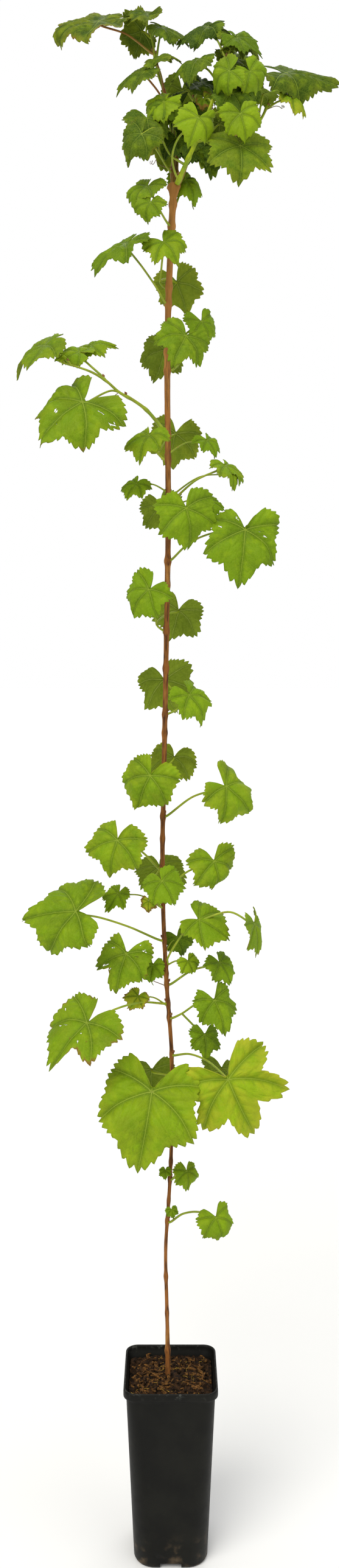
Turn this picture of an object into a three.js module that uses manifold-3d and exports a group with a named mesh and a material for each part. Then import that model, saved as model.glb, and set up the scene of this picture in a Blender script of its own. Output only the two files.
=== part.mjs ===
// A grapevine in its tall square nursery pot, in millimetres, +Z up. The origin is the centre of the
// pot's underside, -Y is the front, and the vine climbs from the flat cut at its foot, on the compost,
// to a knot from which the top shoots spread. Every leaf is a thin five-lobed blade with its stalk.
import * as THREE from 'three'
import { mergeVertices } from 'three/addons/utils/BufferGeometryUtils.js'
import Module from 'manifold-3d'

const wasm = await Module()
wasm.setup()

// ---- driving dimensions ----
const POT_HEIGHT = 212
const POT_RIM_WIDTH = 112
const POT_NECK_WIDTH = 105
const POT_BASE_WIDTH = 88
const POT_CORNER = 14
const POT_BASE_CORNER = 25
const POT_BASE_CHAMFER = 3
const RIM_STEP = 0.5
const RIM_ROUNDING = 0.75
const POT_WALL = 1.5
const POT_FLOOR = 2.5
const RIM_BAND = 10
const DRAIN_WIDTH = 25
const DRAIN_HEIGHT = 6
const DRAIN_DEPTH = 18
const SOIL_TOP = 204
const SOIL_EDGE_TOP = 200
const SOIL_HOLLOW = 2
const SOIL_SHOULDER = 8
const SOIL_BOTTOM = 7
const SOIL_FLAT = 9
const CLEARANCE = 0.35
const BLADE_THICKNESS = 2
const DROOP = 0.16
const STALK_RADIUS = 1.3
const PLAIN_STALK_STEPS = 2
const BOWED_STALK_STEPS = 3
const STALK_ARCH = 0.18
const NECK = 2.5
const TWIG_RADIUS = 1.9
const TWIG_SIDES = 5
const FOOT_FLARE = 1.8
const FOOT_FLARE_FADE = 40
const KNOT_SWELL = 2.2
const KNOT_PLACE = 0.995
const KNOT_TIGHTNESS = 6000
const HALVINGS = 30
const GROUND_BLOCK = 60

// ---- the woody stem and its shoots: a centre line from foot to tip, and the radius at both ends ----
const LIMBS = {
  stem: {
    path: [[-3, 0, 196], [-3, 0, 225], [-5, 0, 300], [-6, 0, 360], [-2, 0, 420], [1, 0, 490],
      [1, 0, 595], [-4, 0, 660], [-7, 0, 730], [-10, 0, 790], [-7, 0, 1000], [-3, 0, 1250],
      [-4, 0, 1450], [1, 0, 1600], [4, 0, 1650]],
    foot: 2.1, tip: 4.6, sides: 8, rings: 18,
  },
  leader: {
    path: [[2, 3, 1646], [3, 12, 1680], [3, 15, 1712], [-1, 18, 1754], [-12, 20, 1782],
      [-18, 20, 1805], [-22, 16, 1830], [-30, 10, 1853]],
    foot: 2.9, tip: 1.1, sides: 5, rings: 10,
  },
  front_shoot: {
    path: [[6, -3, 1646], [18, -14, 1668], [34, -28, 1698], [45, -36, 1722], [56, -40, 1748],
      [66, -34, 1772], [68, -20, 1800]],
    foot: 2.9, tip: 1.3, sides: 5, rings: 9,
  },
  far_shoot: {
    path: [[7, 1, 1646], [16, 6, 1668], [26, 12, 1694], [48, 10, 1712], [80, 10, 1716],
      [106, 14, 1730], [120, 18, 1756], [132, 24, 1786]],
    foot: 3.1, tip: 1.2, sides: 5, rings: 11,
  },
  back_shoot: {
    path: [[4, 4, 1646], [7, 22, 1684], [14, 40, 1728], [26, 52, 1764], [34, 56, 1796]],
    foot: 2.7, tip: 1.1, sides: 5, rings: 7,
  },
  side_shoot: {
    path: [[-5, 0, 1345], [-20, -6, 1364], [-36, -12, 1379], [-61, -20, 1392], [-84, -25, 1410],
      [-108, -27, 1420], [-130, -28, 1426]],
    foot: 2.4, tip: 1.1, sides: 5, rings: 8,
  },
}

// ---- the leaves of each limb ----
// foot is the height at which the stalk leaves its limb, heart the place where it meets the blade, and
// width the blade's breadth. The upper side faces the compass bearing face (-90 is the front) and looks
// up at tilt degrees (90 is level). turn swings the tip from straight downhill, counter-clockwise as
// seen on the upper side. droop lets the lobes hang, and bow replaces the stalk's plain upward arch.
// Two leaves on one short twig are a leaf and its twin, and fork is the end of that twig.
const LEAVES = {
  stem: [
    { foot: 388, heart: [54, -30, 408], width: 44, face: -70, tilt: 30, turn: 14, bow: [0, -6, 24] },
    { foot: 440, heart: [19, -30, 463], width: 32, face: -80, tilt: 30, turn: 6 },
    { foot: 560, heart: [-22, -70, 571], width: 114, face: -94, tilt: 24, turn: -10 },
    { foot: 592, heart: [67, -60, 582], width: 104, face: -84, tilt: 8, turn: 26, bow: [0, -6, 26] },
    { foot: 636, fork: [12, -12, 646], heart: [41, -18, 622], width: 38, face: -70, tilt: 30, turn: -4,
      twin: { heart: [52, -36, 668], width: 54, face: -66, tilt: 26, turn: 14 } },
    { foot: 655, heart: [-98, -60, 648], width: 88, face: -108, tilt: 46, turn: -34, bow: [0, 0, 22] },
    { foot: 676, heart: [59, -15, 708], width: 42, face: -50, tilt: 40, turn: 14 },
    { foot: 690, heart: [-53, -30, 722], width: 66, face: -110, tilt: 30, turn: -10 },
    { foot: 702, fork: [17, -20, 748], heart: [34, -36, 764], width: 56, face: -74, tilt: 36, turn: 56,
      twin: { heart: [99, -42, 760], width: 54, face: -24, tilt: 12, turn: 8, bow: [4, 0, 38] } },
    { foot: 730, heart: [-112, -44, 775], width: 98, face: -106, tilt: 50, turn: -84, bow: [-20, 0, 16] },
    { foot: 790, heart: [52, -30, 832], width: 60, face: -66, tilt: 20, turn: 10 },
    { foot: 815, heart: [-63, -46, 859], width: 66, face: -105, tilt: 20, turn: -14 },
    { foot: 880, heart: [66, -40, 922], width: 72, face: -60, tilt: 28, turn: 44 },
    { foot: 1190, heart: [88, -42, 1225], width: 88, face: -84, tilt: 20, turn: -6, bow: [-10, 0, 26] },
    { foot: 1262, heart: [66, -12, 1306], width: 44, face: -50, tilt: 44, turn: 10 },
    { foot: 1440, heart: [38, 10, 1486], width: 48, face: -60, tilt: 24, turn: 20 },
    { foot: 1500, heart: [-54, -32, 1566], width: 74, face: -132, tilt: 55, turn: -20, bow: [4, 0, 2] },
    { foot: 1596, fork: [-10, -18, 1606], heart: [-29, -32, 1634], width: 52, face: -120, tilt: 46, turn: -20,
      twin: { heart: [-24, -56, 1606], width: 36, face: -104, tilt: 22, turn: -20 } },
    { foot: 1612, heart: [18, 22, 1664], width: 48, face: -64, tilt: 30, turn: 20 },
    { foot: 540, fork: [16, 20, 548], heart: [-24, 60, 556], width: 62, face: 104, tilt: 34, turn: -6,
      twin: { heart: [64, 34, 566], width: 58, face: 44, tilt: 34, turn: 8 } },
    { foot: 780, fork: [-24, 2, 792], heart: [-14, 60, 812], width: 60, face: 104, tilt: 32, turn: -14,
      twin: { heart: [-10, -52, 812], width: 46, face: -82, tilt: 36, turn: 26 } },
    { foot: 905, fork: [-18, 0, 914], heart: [-24, -58, 936], width: 66, face: -104, tilt: 12, turn: -24,
      twin: { heart: [4, 64, 950], width: 58, face: 84, tilt: 36, turn: 16 } },
    { foot: 1005, fork: [10, 0, 1014], heart: [22, -50, 1030], width: 54, face: -66, tilt: 38, turn: 28,
      twin: { heart: [-8, 66, 1048], width: 68, face: 98, tilt: 24, turn: -18 } },
    { foot: 1105, fork: [-17, 0, 1114], heart: [-26, -52, 1154], width: 58, face: -112, tilt: 26, turn: -36,
      twin: { heart: [10, 64, 1136], width: 62, face: 76, tilt: 36, turn: 20 } },
    { foot: 1225, fork: [11, 0, 1234], heart: [18, -60, 1248], width: 68, face: -78, tilt: 8, turn: 10,
      twin: { heart: [-12, 64, 1268], width: 56, face: 106, tilt: 30, turn: -22 } },
    { foot: 1312, fork: [-15, 2, 1322], heart: [-26, -46, 1336], width: 50, face: -116, tilt: 42, turn: -12,
      twin: { heart: [6, 66, 1360], width: 66, face: 86, tilt: 22, turn: 14 } },
    { foot: 1420, fork: [9, 0, 1430], heart: [18, -56, 1450], width: 62, face: -68, tilt: 24, turn: -30,
      twin: { heart: [-8, 64, 1466], width: 58, face: 102, tilt: 38, turn: 10 } },
    { foot: 1520, fork: [-13, 2, 1530], heart: [-8, -50, 1562], width: 50, face: -98, tilt: 34, turn: 36,
      twin: { heart: [8, 62, 1550], width: 60, face: 76, tilt: 26, turn: -16 } },
  ],
  leader: [
    { foot: 1816, heart: [-88, 16, 1856], width: 100, face: -98, tilt: 53, turn: -70, droop: 0.22 },
    { foot: 1834, fork: [-30, 20, 1842], heart: [-28, 4, 1858], width: 44, face: -84, tilt: 50, turn: -64,
      twin: { heart: [-36, 32, 1852], width: 50, face: 112, tilt: 30, turn: 66 } },
    { foot: 1808, heart: [-10, 8, 1844], width: 52, face: -60, tilt: 50, turn: 60 },
    { foot: 1772, heart: [-18, -8, 1798], width: 44, face: -120, tilt: 50, turn: 116 },
    { foot: 1740, heart: [-32, -18, 1777], width: 54, face: -112, tilt: 48, turn: -68 },
    { foot: 1700, heart: [-8, -26, 1738], width: 52, face: -118, tilt: 34, turn: -46 },
    { foot: 1664, fork: [-8, 0, 1676], heart: [-28, -26, 1718], width: 58, face: -96, tilt: 36, turn: 6,
      twin: { heart: [-34, -56, 1686], width: 56, face: -108, tilt: 20, turn: -40 } },
  ],
  front_shoot: [
    { foot: 1652, heart: [32, -76, 1696], width: 48, face: -92, tilt: 10, turn: -20, bow: [-34, -20, 0] },
    { foot: 1690, heart: [81, -66, 1668], width: 70, face: -80, tilt: 24, turn: -4, bow: [4, 0, 16] },
    { foot: 1712, heart: [80, -82, 1698], width: 47, face: -86, tilt: 8, turn: 16, bow: [0, -6, 14] },
    { foot: 1752, heart: [32, -26, 1788], width: 60, face: -118, tilt: 54, turn: -58, droop: 0.3 },
    { foot: 1758, fork: [72, -44, 1756], heart: [68, -62, 1757], width: 47, face: -98, tilt: 16, turn: -62,
      twin: { heart: [94, -42, 1766], width: 47, face: -76, tilt: 16, turn: 44 } },
    { foot: 1785, heart: [45, -6, 1838], width: 58, face: -112, tilt: 48, turn: -72 },
    { foot: 1790, fork: [72, -14, 1800], heart: [76, -14, 1820], width: 56, face: -58, tilt: 46, turn: 56,
      twin: { heart: [80, 16, 1810], width: 66, face: -58, tilt: 36, turn: 42 } },
  ],
  far_shoot: [
    { foot: 1712, heart: [60, 34, 1738], width: 66, face: 76, tilt: 34, turn: 4 },
    { foot: 1731, heart: [112, 0, 1760], width: 58, face: -70, tilt: 74, turn: -112 },
    { foot: 1748, heart: [146, 16, 1765], width: 48, face: -50, tilt: 48, turn: 46 },
    { foot: 1774, heart: [142, 20, 1795], width: 92, face: -83, tilt: 52, turn: 82, droop: 0.2 },
  ],
  back_shoot: [
    { foot: 1690, heart: [-2, 66, 1744], width: 66, face: 120, tilt: 34, turn: -6 },
    { foot: 1740, heart: [44, 84, 1756], width: 68, face: 70, tilt: 36, turn: 4 },
    { foot: 1776, heart: [14, 80, 1802], width: 60, face: 110, tilt: 44, turn: -8 },
  ],
  side_shoot: [
    { foot: 1384, heart: [-103, -60, 1372], width: 106, face: -98, tilt: 34, turn: -46, bow: [-10, 0, 30] },
    { foot: 1406, fork: [-90, -18, 1428], heart: [-98, 16, 1458], width: 46, face: -120, tilt: 50, turn: 110,
      twin: { heart: [-110, -14, 1442], width: 44, face: -80, tilt: 48, turn: -118 } },
    { foot: 1423, heart: [-150, -30, 1446], width: 72, face: -130, tilt: 50, turn: -50, droop: 0.2 },
  ],
}

// A blade's rim on one side: bearing from the tip in degrees, and reach as a share of the tip's own.
const RIM = [[0, 1], [27, 0.72], [53, 0.84], [80, 0.6], [106, 0.68], [128, 0.54], [152, 0.5], [180, 0.1]]
const REACH_PER_WIDTH = 0.74
const WHOLE_RIM = [...RIM, ...RIM.slice(1, -1).reverse().map(([bearing, reach]) => [360 - bearing, reach])]

// ---- looks ----
const paint = (color, roughness) => new THREE.MeshStandardMaterial({ color, roughness, metalness: 0 })
const POT_PLASTIC = paint(0x24221f, 0.45)
const COMPOST = paint(0x4a3220, 0.95)
const BARK = paint(0x8a5a32, 0.8)
const GREEN_SHOOT = paint(0x8fa52c, 0.6)
const LEAF_GREENS = [paint(0x4f7d22, 0.6), paint(0x5f9427, 0.6), paint(0x74a52d, 0.6)]

// ---- solids ----
function solidOf(points, triangles) {
  return new wasm.Manifold(new wasm.Mesh({
    numProp: 3,
    vertProperties: new Float32Array(points.flat()),
    triVerts: new Uint32Array(triangles.flat()),
  }))
}

// Rings of equal length, foot first, each seen counter-clockwise from the far end, closed by two fans.
function loft(rings) {
  const count = rings[0].length
  const points = rings.flat()
  const triangles = []
  for (let ring = 0; ring + 1 < rings.length; ring++) {
    for (let i = 0; i < count; i++) {
      const a = ring * count + i
      const b = ring * count + (i + 1) % count
      triangles.push([a, b, b + count], [a, b + count, a + count])
    }
  }
  const last = points.length - count
  const middle = ring => ring.reduce((sum, p) => sum.map((s, k) => s + p[k] / count), [0, 0, 0])
  points.push(middle(rings[0]), middle(rings.at(-1)))
  for (let i = 0; i < count; i++) {
    const j = (i + 1) % count
    triangles.push([points.length - 2, j, i], [points.length - 1, last + i, last + j])
  }
  return solidOf(points, triangles)
}

function roundedSquare(width, corner, z, stepsPerCorner = 2) {
  const inner = width / 2 - corner
  const ring = []
  for (const [sx, sy, start] of [[1, 1, 0], [-1, 1, 90], [-1, -1, 180], [1, -1, 270]]) {
    for (let step = 0; step <= stepsPerCorner; step++) {
      const angle = THREE.MathUtils.degToRad(start + 90 * step / stepsPerCorner)
      ring.push([sx * inner + corner * Math.cos(angle), sy * inner + corner * Math.sin(angle), z])
    }
  }
  return ring
}

function mergedSolid(geometry) {
  geometry.deleteAttribute('normal')
  geometry.deleteAttribute('uv')
  const merged = mergeVertices(geometry)
  return new wasm.Manifold(new wasm.Mesh({
    numProp: 3,
    vertProperties: new Float32Array(merged.attributes.position.array),
    triVerts: new Uint32Array(merged.index.array),
  }))
}

const boxSolid = (size, centre) => mergedSolid(new THREE.BoxGeometry(...size).translate(...centre))

// ---- pot and compost ----
const neckHeight = POT_HEIGHT - RIM_BAND
const outerWidthAt = z => POT_BASE_WIDTH + (POT_NECK_WIDTH - POT_BASE_WIDTH) * z / neckHeight

function potSolid() {
  const shell = loft([
    roundedSquare(POT_BASE_WIDTH - 2 * POT_BASE_CHAMFER, POT_BASE_CORNER, 0),
    roundedSquare(POT_BASE_WIDTH, POT_BASE_CORNER, POT_BASE_CHAMFER),
    roundedSquare(POT_NECK_WIDTH, POT_CORNER, neckHeight),
    roundedSquare(POT_RIM_WIDTH - 2 * RIM_STEP, POT_CORNER, neckHeight + RIM_STEP),
    roundedSquare(POT_RIM_WIDTH, POT_CORNER, POT_HEIGHT - RIM_ROUNDING),
    roundedSquare(POT_RIM_WIDTH - 2 * RIM_ROUNDING, POT_CORNER, POT_HEIGHT),
  ])
  const hollow = loft([
    roundedSquare(POT_BASE_WIDTH - 2 * POT_WALL, POT_BASE_CORNER, POT_FLOOR),
    roundedSquare(POT_NECK_WIDTH - 2 * POT_WALL, POT_CORNER, neckHeight),
    roundedSquare(POT_RIM_WIDTH - 4 * POT_WALL, POT_CORNER, neckHeight + POT_WALL),
    roundedSquare(POT_RIM_WIDTH - 4 * POT_WALL, POT_CORNER, POT_HEIGHT + POT_WALL),
  ])
  let pot = shell.subtract(hollow)
  for (const [x, y] of [[1, 0], [-1, 0], [0, 1], [0, -1]]) {
    const reach = POT_BASE_WIDTH / 2 + POT_WALL - DRAIN_DEPTH / 2
    const [deep, wide] = x ? [DRAIN_DEPTH, DRAIN_WIDTH] : [DRAIN_WIDTH, DRAIN_DEPTH]
    pot = pot.subtract(boxSolid([deep, wide, 2 * DRAIN_HEIGHT], [x * reach, y * reach, 0]))
  }
  return pot
}

// The compost stands clear of the wall, and dips a little from a flat patch round the vine's foot.
function soilSolid() {
  const room = z => outerWidthAt(z) - 2 * POT_WALL - 2 * CLEARANCE
  const edge = room(SOIL_EDGE_TOP)
  return loft([
    roundedSquare(room(SOIL_BOTTOM), POT_BASE_CORNER, SOIL_BOTTOM),
    roundedSquare(edge, POT_CORNER, SOIL_EDGE_TOP),
    roundedSquare(edge - 2 * SOIL_SHOULDER, POT_CORNER, SOIL_TOP - SOIL_HOLLOW / 2),
    roundedSquare(edge / 2, POT_CORNER, SOIL_TOP - SOIL_HOLLOW),
    roundedSquare(2 * SOIL_FLAT, SOIL_FLAT - 1, SOIL_TOP),
  ])
}

// ---- limbs ----
const pointOf = p => new THREE.Vector3(...p)
const curveOf = limb => new THREE.CatmullRomCurve3(limb.path.map(pointOf), false, 'centripetal')

// A tapering tube along a curve, with its rings square to the curve.
function tube(curve, radiusAt, sides, rings) {
  const { normals, binormals } = curve.computeFrenetFrames(rings, false)
  const hoops = []
  for (let i = 0; i <= rings; i++) {
    const centre = curve.getPointAt(i / rings)
    const radius = radiusAt(i / rings)
    const hoop = []
    for (let k = 0; k < sides; k++) {
      const angle = 2 * Math.PI * k / sides
      const point = centre.clone()
        .addScaledVector(normals[i], radius * Math.cos(angle))
        .addScaledVector(binormals[i], radius * Math.sin(angle))
      hoop.push(point.toArray())
    }
    hoops.push(hoop)
  }
  const solid = loft(hoops)
  return solid.volume() > 0 ? solid : loft(hoops.map(hoop => hoop.reverse()))
}

// The stem flares over its lowest hand's breadth, and swells at the knot that carries the shoots.
function swelling(name, t) {
  if (name !== 'stem') return 0
  const knot = KNOT_SWELL * Math.exp(-((t - KNOT_PLACE) ** 2) * KNOT_TIGHTNESS)
  return FOOT_FLARE * Math.exp(-t * FOOT_FLARE_FADE) + knot
}

function limbSolid(name, extra = 0) {
  const { foot, tip, sides, rings } = LIMBS[name]
  const radiusAt = t => foot + (tip - foot) * t + swelling(name, t) + extra
  return tube(curveOf(LIMBS[name]), radiusAt, sides, rings)
}

// The point of a limb's centre line at a given height.
function centreAt(name, height) {
  const curve = curveOf(LIMBS[name])
  let low = 0
  let high = 1
  for (let i = 0; i < HALVINGS; i++) {
    const t = (low + high) / 2
    if (curve.getPointAt(t).z < height) low = t
    else high = t
  }
  return curve.getPointAt(low)
}

// ---- leaves ----
function bladeFrame({ face, tilt, turn }) {
  const bearing = THREE.MathUtils.degToRad(face)
  const rise = THREE.MathUtils.degToRad(tilt)
  const upper = new THREE.Vector3(
    Math.cos(bearing) * Math.cos(rise), Math.sin(bearing) * Math.cos(rise), Math.sin(rise))
  const downhill = new THREE.Vector3(0, 0, -1).projectOnPlane(upper).normalize()
  const tip = downhill.applyAxisAngle(upper, THREE.MathUtils.degToRad(turn))
  const side = new THREE.Vector3().crossVectors(upper, tip)
  return { upper, tip, side }
}

// The stalk's centre line runs from the blade's heart, a short neck under it, to the foot.
function stalkLine(leaf, base) {
  const { upper } = bladeFrame(leaf)
  const neck = new THREE.Vector3(...leaf.heart).addScaledVector(upper, -BLADE_THICKNESS - NECK)
  const bow = new THREE.Vector3(...(leaf.bow ?? [0, 0, STALK_ARCH * base.distanceTo(neck)]))
  const control = base.clone().add(neck).multiplyScalar(0.5).add(bow)
  return new THREE.QuadraticBezierCurve3(neck, control, base)
}

// One closed skin: a fan of facets on the upper side, the rim's edge, and an underside whose middle
// opens into a four-sided stalk.
function leafSolid(leaf, base, extra) {
  const { upper, tip, side } = bladeFrame(leaf)
  const heart = new THREE.Vector3(...leaf.heart)
  const reach = leaf.width * REACH_PER_WIDTH
  const droop = leaf.droop ?? DROOP
  const place = (along, across, height) => heart.clone()
    .addScaledVector(tip, along).addScaledVector(side, across).addScaledVector(upper, height).toArray()
  const rim = WHOLE_RIM
  const points = [place(0, 0, extra)]
  for (const [bearing, share] of rim) {
    const angle = THREE.MathUtils.degToRad(bearing)
    const radius = share * reach + extra
    const sag = -droop * share * share * reach
    for (const height of [sag + extra, sag - BLADE_THICKNESS - extra]) {
      points.push(place(radius * Math.cos(angle), radius * Math.sin(angle), height))
    }
  }
  const topOf = i => 1 + 2 * (i % rim.length)
  const stalkStart = points.length
  const quarterOf = i => Math.round(rim[i % rim.length][0] / 90) % 4
  const triangles = []
  for (let i = 0; i < rim.length; i++) {
    const a = topOf(i)
    const b = topOf(i + 1)
    const [here, next] = [stalkStart + quarterOf(i), stalkStart + quarterOf(i + 1)]
    triangles.push([0, a, b], [a, a + 1, b + 1], [a, b + 1, b], [here, b + 1, a + 1])
    if (next !== here) triangles.push([here, next, b + 1])
  }

  const line = stalkLine(leaf, base)
  const steps = leaf.bow ? BOWED_STALK_STEPS : PLAIN_STALK_STEPS
  const centres = [heart.clone().addScaledVector(upper, -BLADE_THICKNESS - extra)]
  const headings = [upper.clone().negate()]
  for (let k = 0; k <= steps; k++) {
    centres.push(line.getPoint(k / steps))
    headings.push(line.getTangent(k / steps))
  }
  const across = [tip.clone(), side.clone()]
  centres.forEach((centre, k) => {
    if (k) {
      const swing = new THREE.Quaternion().setFromUnitVectors(headings[k - 1], headings[k])
      across.forEach(axis => axis.applyQuaternion(swing))
    }
    for (let corner = 0; corner < 4; corner++) {
      const angle = corner * Math.PI / 2
      points.push(centre.clone()
        .addScaledVector(across[0], (STALK_RADIUS + extra) * Math.cos(angle))
        .addScaledVector(across[1], (STALK_RADIUS + extra) * Math.sin(angle)).toArray())
    }
    if (k === 0) return
    for (let corner = 0; corner < 4; corner++) {
      const a = stalkStart + 4 * (k - 1) + corner
      const b = stalkStart + 4 * (k - 1) + (corner + 1) % 4
      triangles.push([a, b + 4, b], [a, a + 4, b + 4])
    }
  })
  const last = points.length - 4
  triangles.push([last, last + 2, last + 1], [last, last + 3, last + 2])
  return solidOf(points, triangles)
}

function spraySolid(limb, leaf, extra = 0) {
  const foot = centreAt(limb, leaf.foot)
  if (!leaf.twin) return leafSolid(leaf, foot, extra)
  const fork = new THREE.Vector3(...leaf.fork)
  const beyond = fork.clone().sub(foot).setLength(TWIG_RADIUS).add(fork)
  const twig = tube(new THREE.LineCurve3(foot, beyond), () => TWIG_RADIUS + extra, TWIG_SIDES, 1)
  return twig.add(leafSolid(leaf, fork, extra)).add(leafSolid(leaf.twin, fork, extra))
}

// ---- clearances: a piece gives way to those before it, and keeps its largest body ----
const boxesMeet = (a, b) => [0, 1, 2].every(k => a.min[k] < b.max[k] && b.min[k] < a.max[k])

function clearOf(solid, obstacles) {
  let rest = solid
  for (const obstacle of obstacles) {
    if (!boxesMeet(rest.boundingBox(), obstacle.boundingBox())) continue
    if (rest.intersect(obstacle).volume() > 0) rest = rest.subtract(obstacle)
  }
  return rest.decompose().reduce((best, body) => body.volume() > best.volume() ? body : best)
}

// ---- the assembly ----
const grapevine = new THREE.Group()
const obstacles = []

function place(name, solid, material, grown) {
  const { numProp, vertProperties, triVerts } = clearOf(solid, obstacles).getMesh()
  const geometry = new THREE.BufferGeometry()
  geometry.setAttribute('position', new THREE.BufferAttribute(vertProperties, numProp))
  geometry.setIndex(new THREE.BufferAttribute(triVerts, 1))
  geometry.computeVertexNormals()
  const mesh = new THREE.Mesh(geometry, material)
  mesh.name = name
  grapevine.add(mesh)
  if (grown) obstacles.push(grown)
}

place('pot', potSolid(), POT_PLASTIC)
place('soil', soilSolid(), COMPOST)

const groundDepth = GROUND_BLOCK / 2
const ground = boxSolid(
  [GROUND_BLOCK, GROUND_BLOCK, groundDepth], [0, 0, SOIL_TOP + CLEARANCE - groundDepth / 2])
for (const name of Object.keys(LIMBS)) {
  const woody = name === 'stem'
  const solid = woody ? limbSolid(name).subtract(ground) : limbSolid(name)
  place(name, solid, woody ? BARK : GREEN_SHOOT, limbSolid(name, CLEARANCE))
}
for (const [limb, leaves] of Object.entries(LEAVES)) {
  leaves.forEach((leaf, i) => {
    const name = `${limb}_leaf_${String(i + 1).padStart(2, '0')}`
    const green = LEAF_GREENS[i % LEAF_GREENS.length]
    place(name, spraySolid(limb, leaf), green, spraySolid(limb, leaf, CLEARANCE))
  })
}

export default grapevine
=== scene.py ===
import math

import bpy
import numpy as np
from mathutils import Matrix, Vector, noise


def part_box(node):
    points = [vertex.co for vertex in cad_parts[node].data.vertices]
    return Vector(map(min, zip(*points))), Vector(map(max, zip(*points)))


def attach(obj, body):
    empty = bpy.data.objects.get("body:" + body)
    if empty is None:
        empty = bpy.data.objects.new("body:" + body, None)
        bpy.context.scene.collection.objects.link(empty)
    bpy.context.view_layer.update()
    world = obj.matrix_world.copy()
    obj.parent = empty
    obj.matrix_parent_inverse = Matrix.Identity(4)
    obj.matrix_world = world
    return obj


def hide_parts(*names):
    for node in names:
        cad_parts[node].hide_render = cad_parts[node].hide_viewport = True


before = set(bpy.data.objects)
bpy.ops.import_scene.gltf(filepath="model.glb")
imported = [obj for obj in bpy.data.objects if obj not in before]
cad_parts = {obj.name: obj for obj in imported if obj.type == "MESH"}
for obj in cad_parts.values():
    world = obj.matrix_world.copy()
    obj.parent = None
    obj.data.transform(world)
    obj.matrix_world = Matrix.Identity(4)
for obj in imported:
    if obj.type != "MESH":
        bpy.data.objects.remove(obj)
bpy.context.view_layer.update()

MM = 0.001
SEED = 41
FAR = 9  # further than anything on the plant, in metres, or on a blade, in reaches

# ---- how the CAD's leaves and limbs are laid out ----
LIMBS = ("stem", "leader", "front_shoot", "far_shoot", "back_shoot", "side_shoot")
LEAVES = [name for name in sorted(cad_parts) if "_leaf_" in name]

# A CAD blade's rim: bearing from the tip in degrees, and reach as a share of the tip's own.
CAD_RIM = ((0, 1), (27, 0.72), (53, 0.84), (80, 0.6), (106, 0.68), (128, 0.54), (152, 0.5), (180, 0.1))
# How near a point must lie to that rim, how many have to, and between what reaches in metres.
RIM_SLACK = 1.4 * MM
LEAST_FIT = 6
REACHES = (0.01, 0.12)
HEART_CORNERS = 11  # triangles that meet at a blade's heart, at the least
BLADE_DEPTH = 2 * MM

# Corner points closer together than this belong to one ring of a tube.
STEM_RING_GAP = 8.5 * MM
SHOOT_RING_GAP = 4.6 * MM
STALK_RING_GAP = 3.3 * MM

# ---- the visible leaves; lengths on a blade are shares of its reach ----
# Main veins: bearing from the tip in degrees, length, and how far the vein bows.
MAIN_VEINS = ((0, 1.0, 0.0), (53, 0.86, 0.3), (-53, 0.86, -0.3), (106, 0.71, 0.36), (-106, 0.71, -0.36))
# Side veins: spacing along the main vein, how they slant and curve away, and how far the two sides differ.
SIDE_SPACING = 0.15
SIDE_SLANT = 0.6
SIDE_CURVE = 1.2
SIDE_SHIFT = 0.05
SHEET = 0.3 * MM  # half of a blade's thickness
BEND_CURVE = 3.2
RING_SPACING = 6 * MM
RING_BUNCHING = 0.92
BEHIND_HEART = -0.05  # a vein has nothing to do with points further behind its foot than this
PAD_WIDTH = 0.085
SIDE_DIP = 0.2
HEART_FADE = 0.3
# Ribs under a blade: radii at three shares of a vein's length.
RIB_SHARES = (0, 0.15, 0.94)
RIB_RADII = (0.015, 0.011, 0.003)
RIB_POINTS = 18
# A blade's plane in texture space: how far it reaches behind the heart, and its whole length.
TEXTURE_BEHIND = 0.65
TEXTURE_LENGTH = 1.8
# Teeth: each corner's place along the tooth and its height, for teeth that lean one way and the other.
SAW_FORWARD = ((0.0, -0.5), (0.34, 0.25), (0.62, 0.8), (0.84, 0.2))
SAW_BACK = ((0.0, -0.5), (0.16, 0.2), (0.38, 0.8), (0.66, 0.25))


def rng_for(name):
    """The same random numbers for the same name in every run."""
    return np.random.default_rng([SEED, *name.encode()])


def unit(vector):
    """The vector at length 1."""
    return vector / np.linalg.norm(vector)


def square_to(normal):
    """Two unit vectors square to normal and to each other, right-handed with it."""
    aside = np.array([1.0, 0, 0]) if abs(normal[0]) < 0.8 else np.array([0, 1.0, 0])
    x = unit(np.cross(aside, normal))
    return x, np.cross(normal, x)


def ramp(low, high, value):
    """0 below low, 1 above high, and a smooth rise between them."""
    t = np.clip((value - low) / (high - low), 0, 1)
    return t * t * (3 - 2 * t)


# ---- reading the CAD solids ----
def node_points(name):
    """A node's corner points without doubles, and its triangles."""
    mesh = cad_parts[name].data
    points = np.array([v.co for v in mesh.vertices], float)
    points, place = np.unique(np.round(points, 5), axis=0, return_inverse=True)
    place = place.reshape(-1)
    triangles = np.array([[place[i] for i in face.vertices] for face in mesh.polygons])
    return points, triangles


def fit_rim(xy):
    """Turns and sizes the CAD rim to points in the blade's plane: the fit, the reach and the tip's angle."""
    angles = np.arctan2(xy[:, 1], xy[:, 0])
    radii = np.hypot(xy[:, 0], xy[:, 1])
    bearings = np.radians([b for b, _ in CAD_RIM] + [-b for b, _ in CAD_RIM[1:-1]])
    shares = np.array([s for _, s in CAD_RIM] + [s for _, s in CAD_RIM[1:-1]])
    best = (0, 0, 0)
    for angle, radius in zip(angles, radii):
        for bearing, share in zip(bearings, shares):
            reach = radius / share
            tip = angle - bearing
            if not REACHES[0] < reach < REACHES[1]:
                continue
            rim = reach * shares[:, None] * np.stack([np.cos(bearings + tip), np.sin(bearings + tip)], 1)
            gaps = np.linalg.norm(rim[:, None] - xy[None], axis=2).min(1)
            fits = int((gaps < RIM_SLACK).sum())
            score = fits - gaps[gaps < RIM_SLACK].mean() / RIM_SLACK if fits else 0
            if score > best[0]:
                best = (score, reach, tip)
    return best


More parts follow.
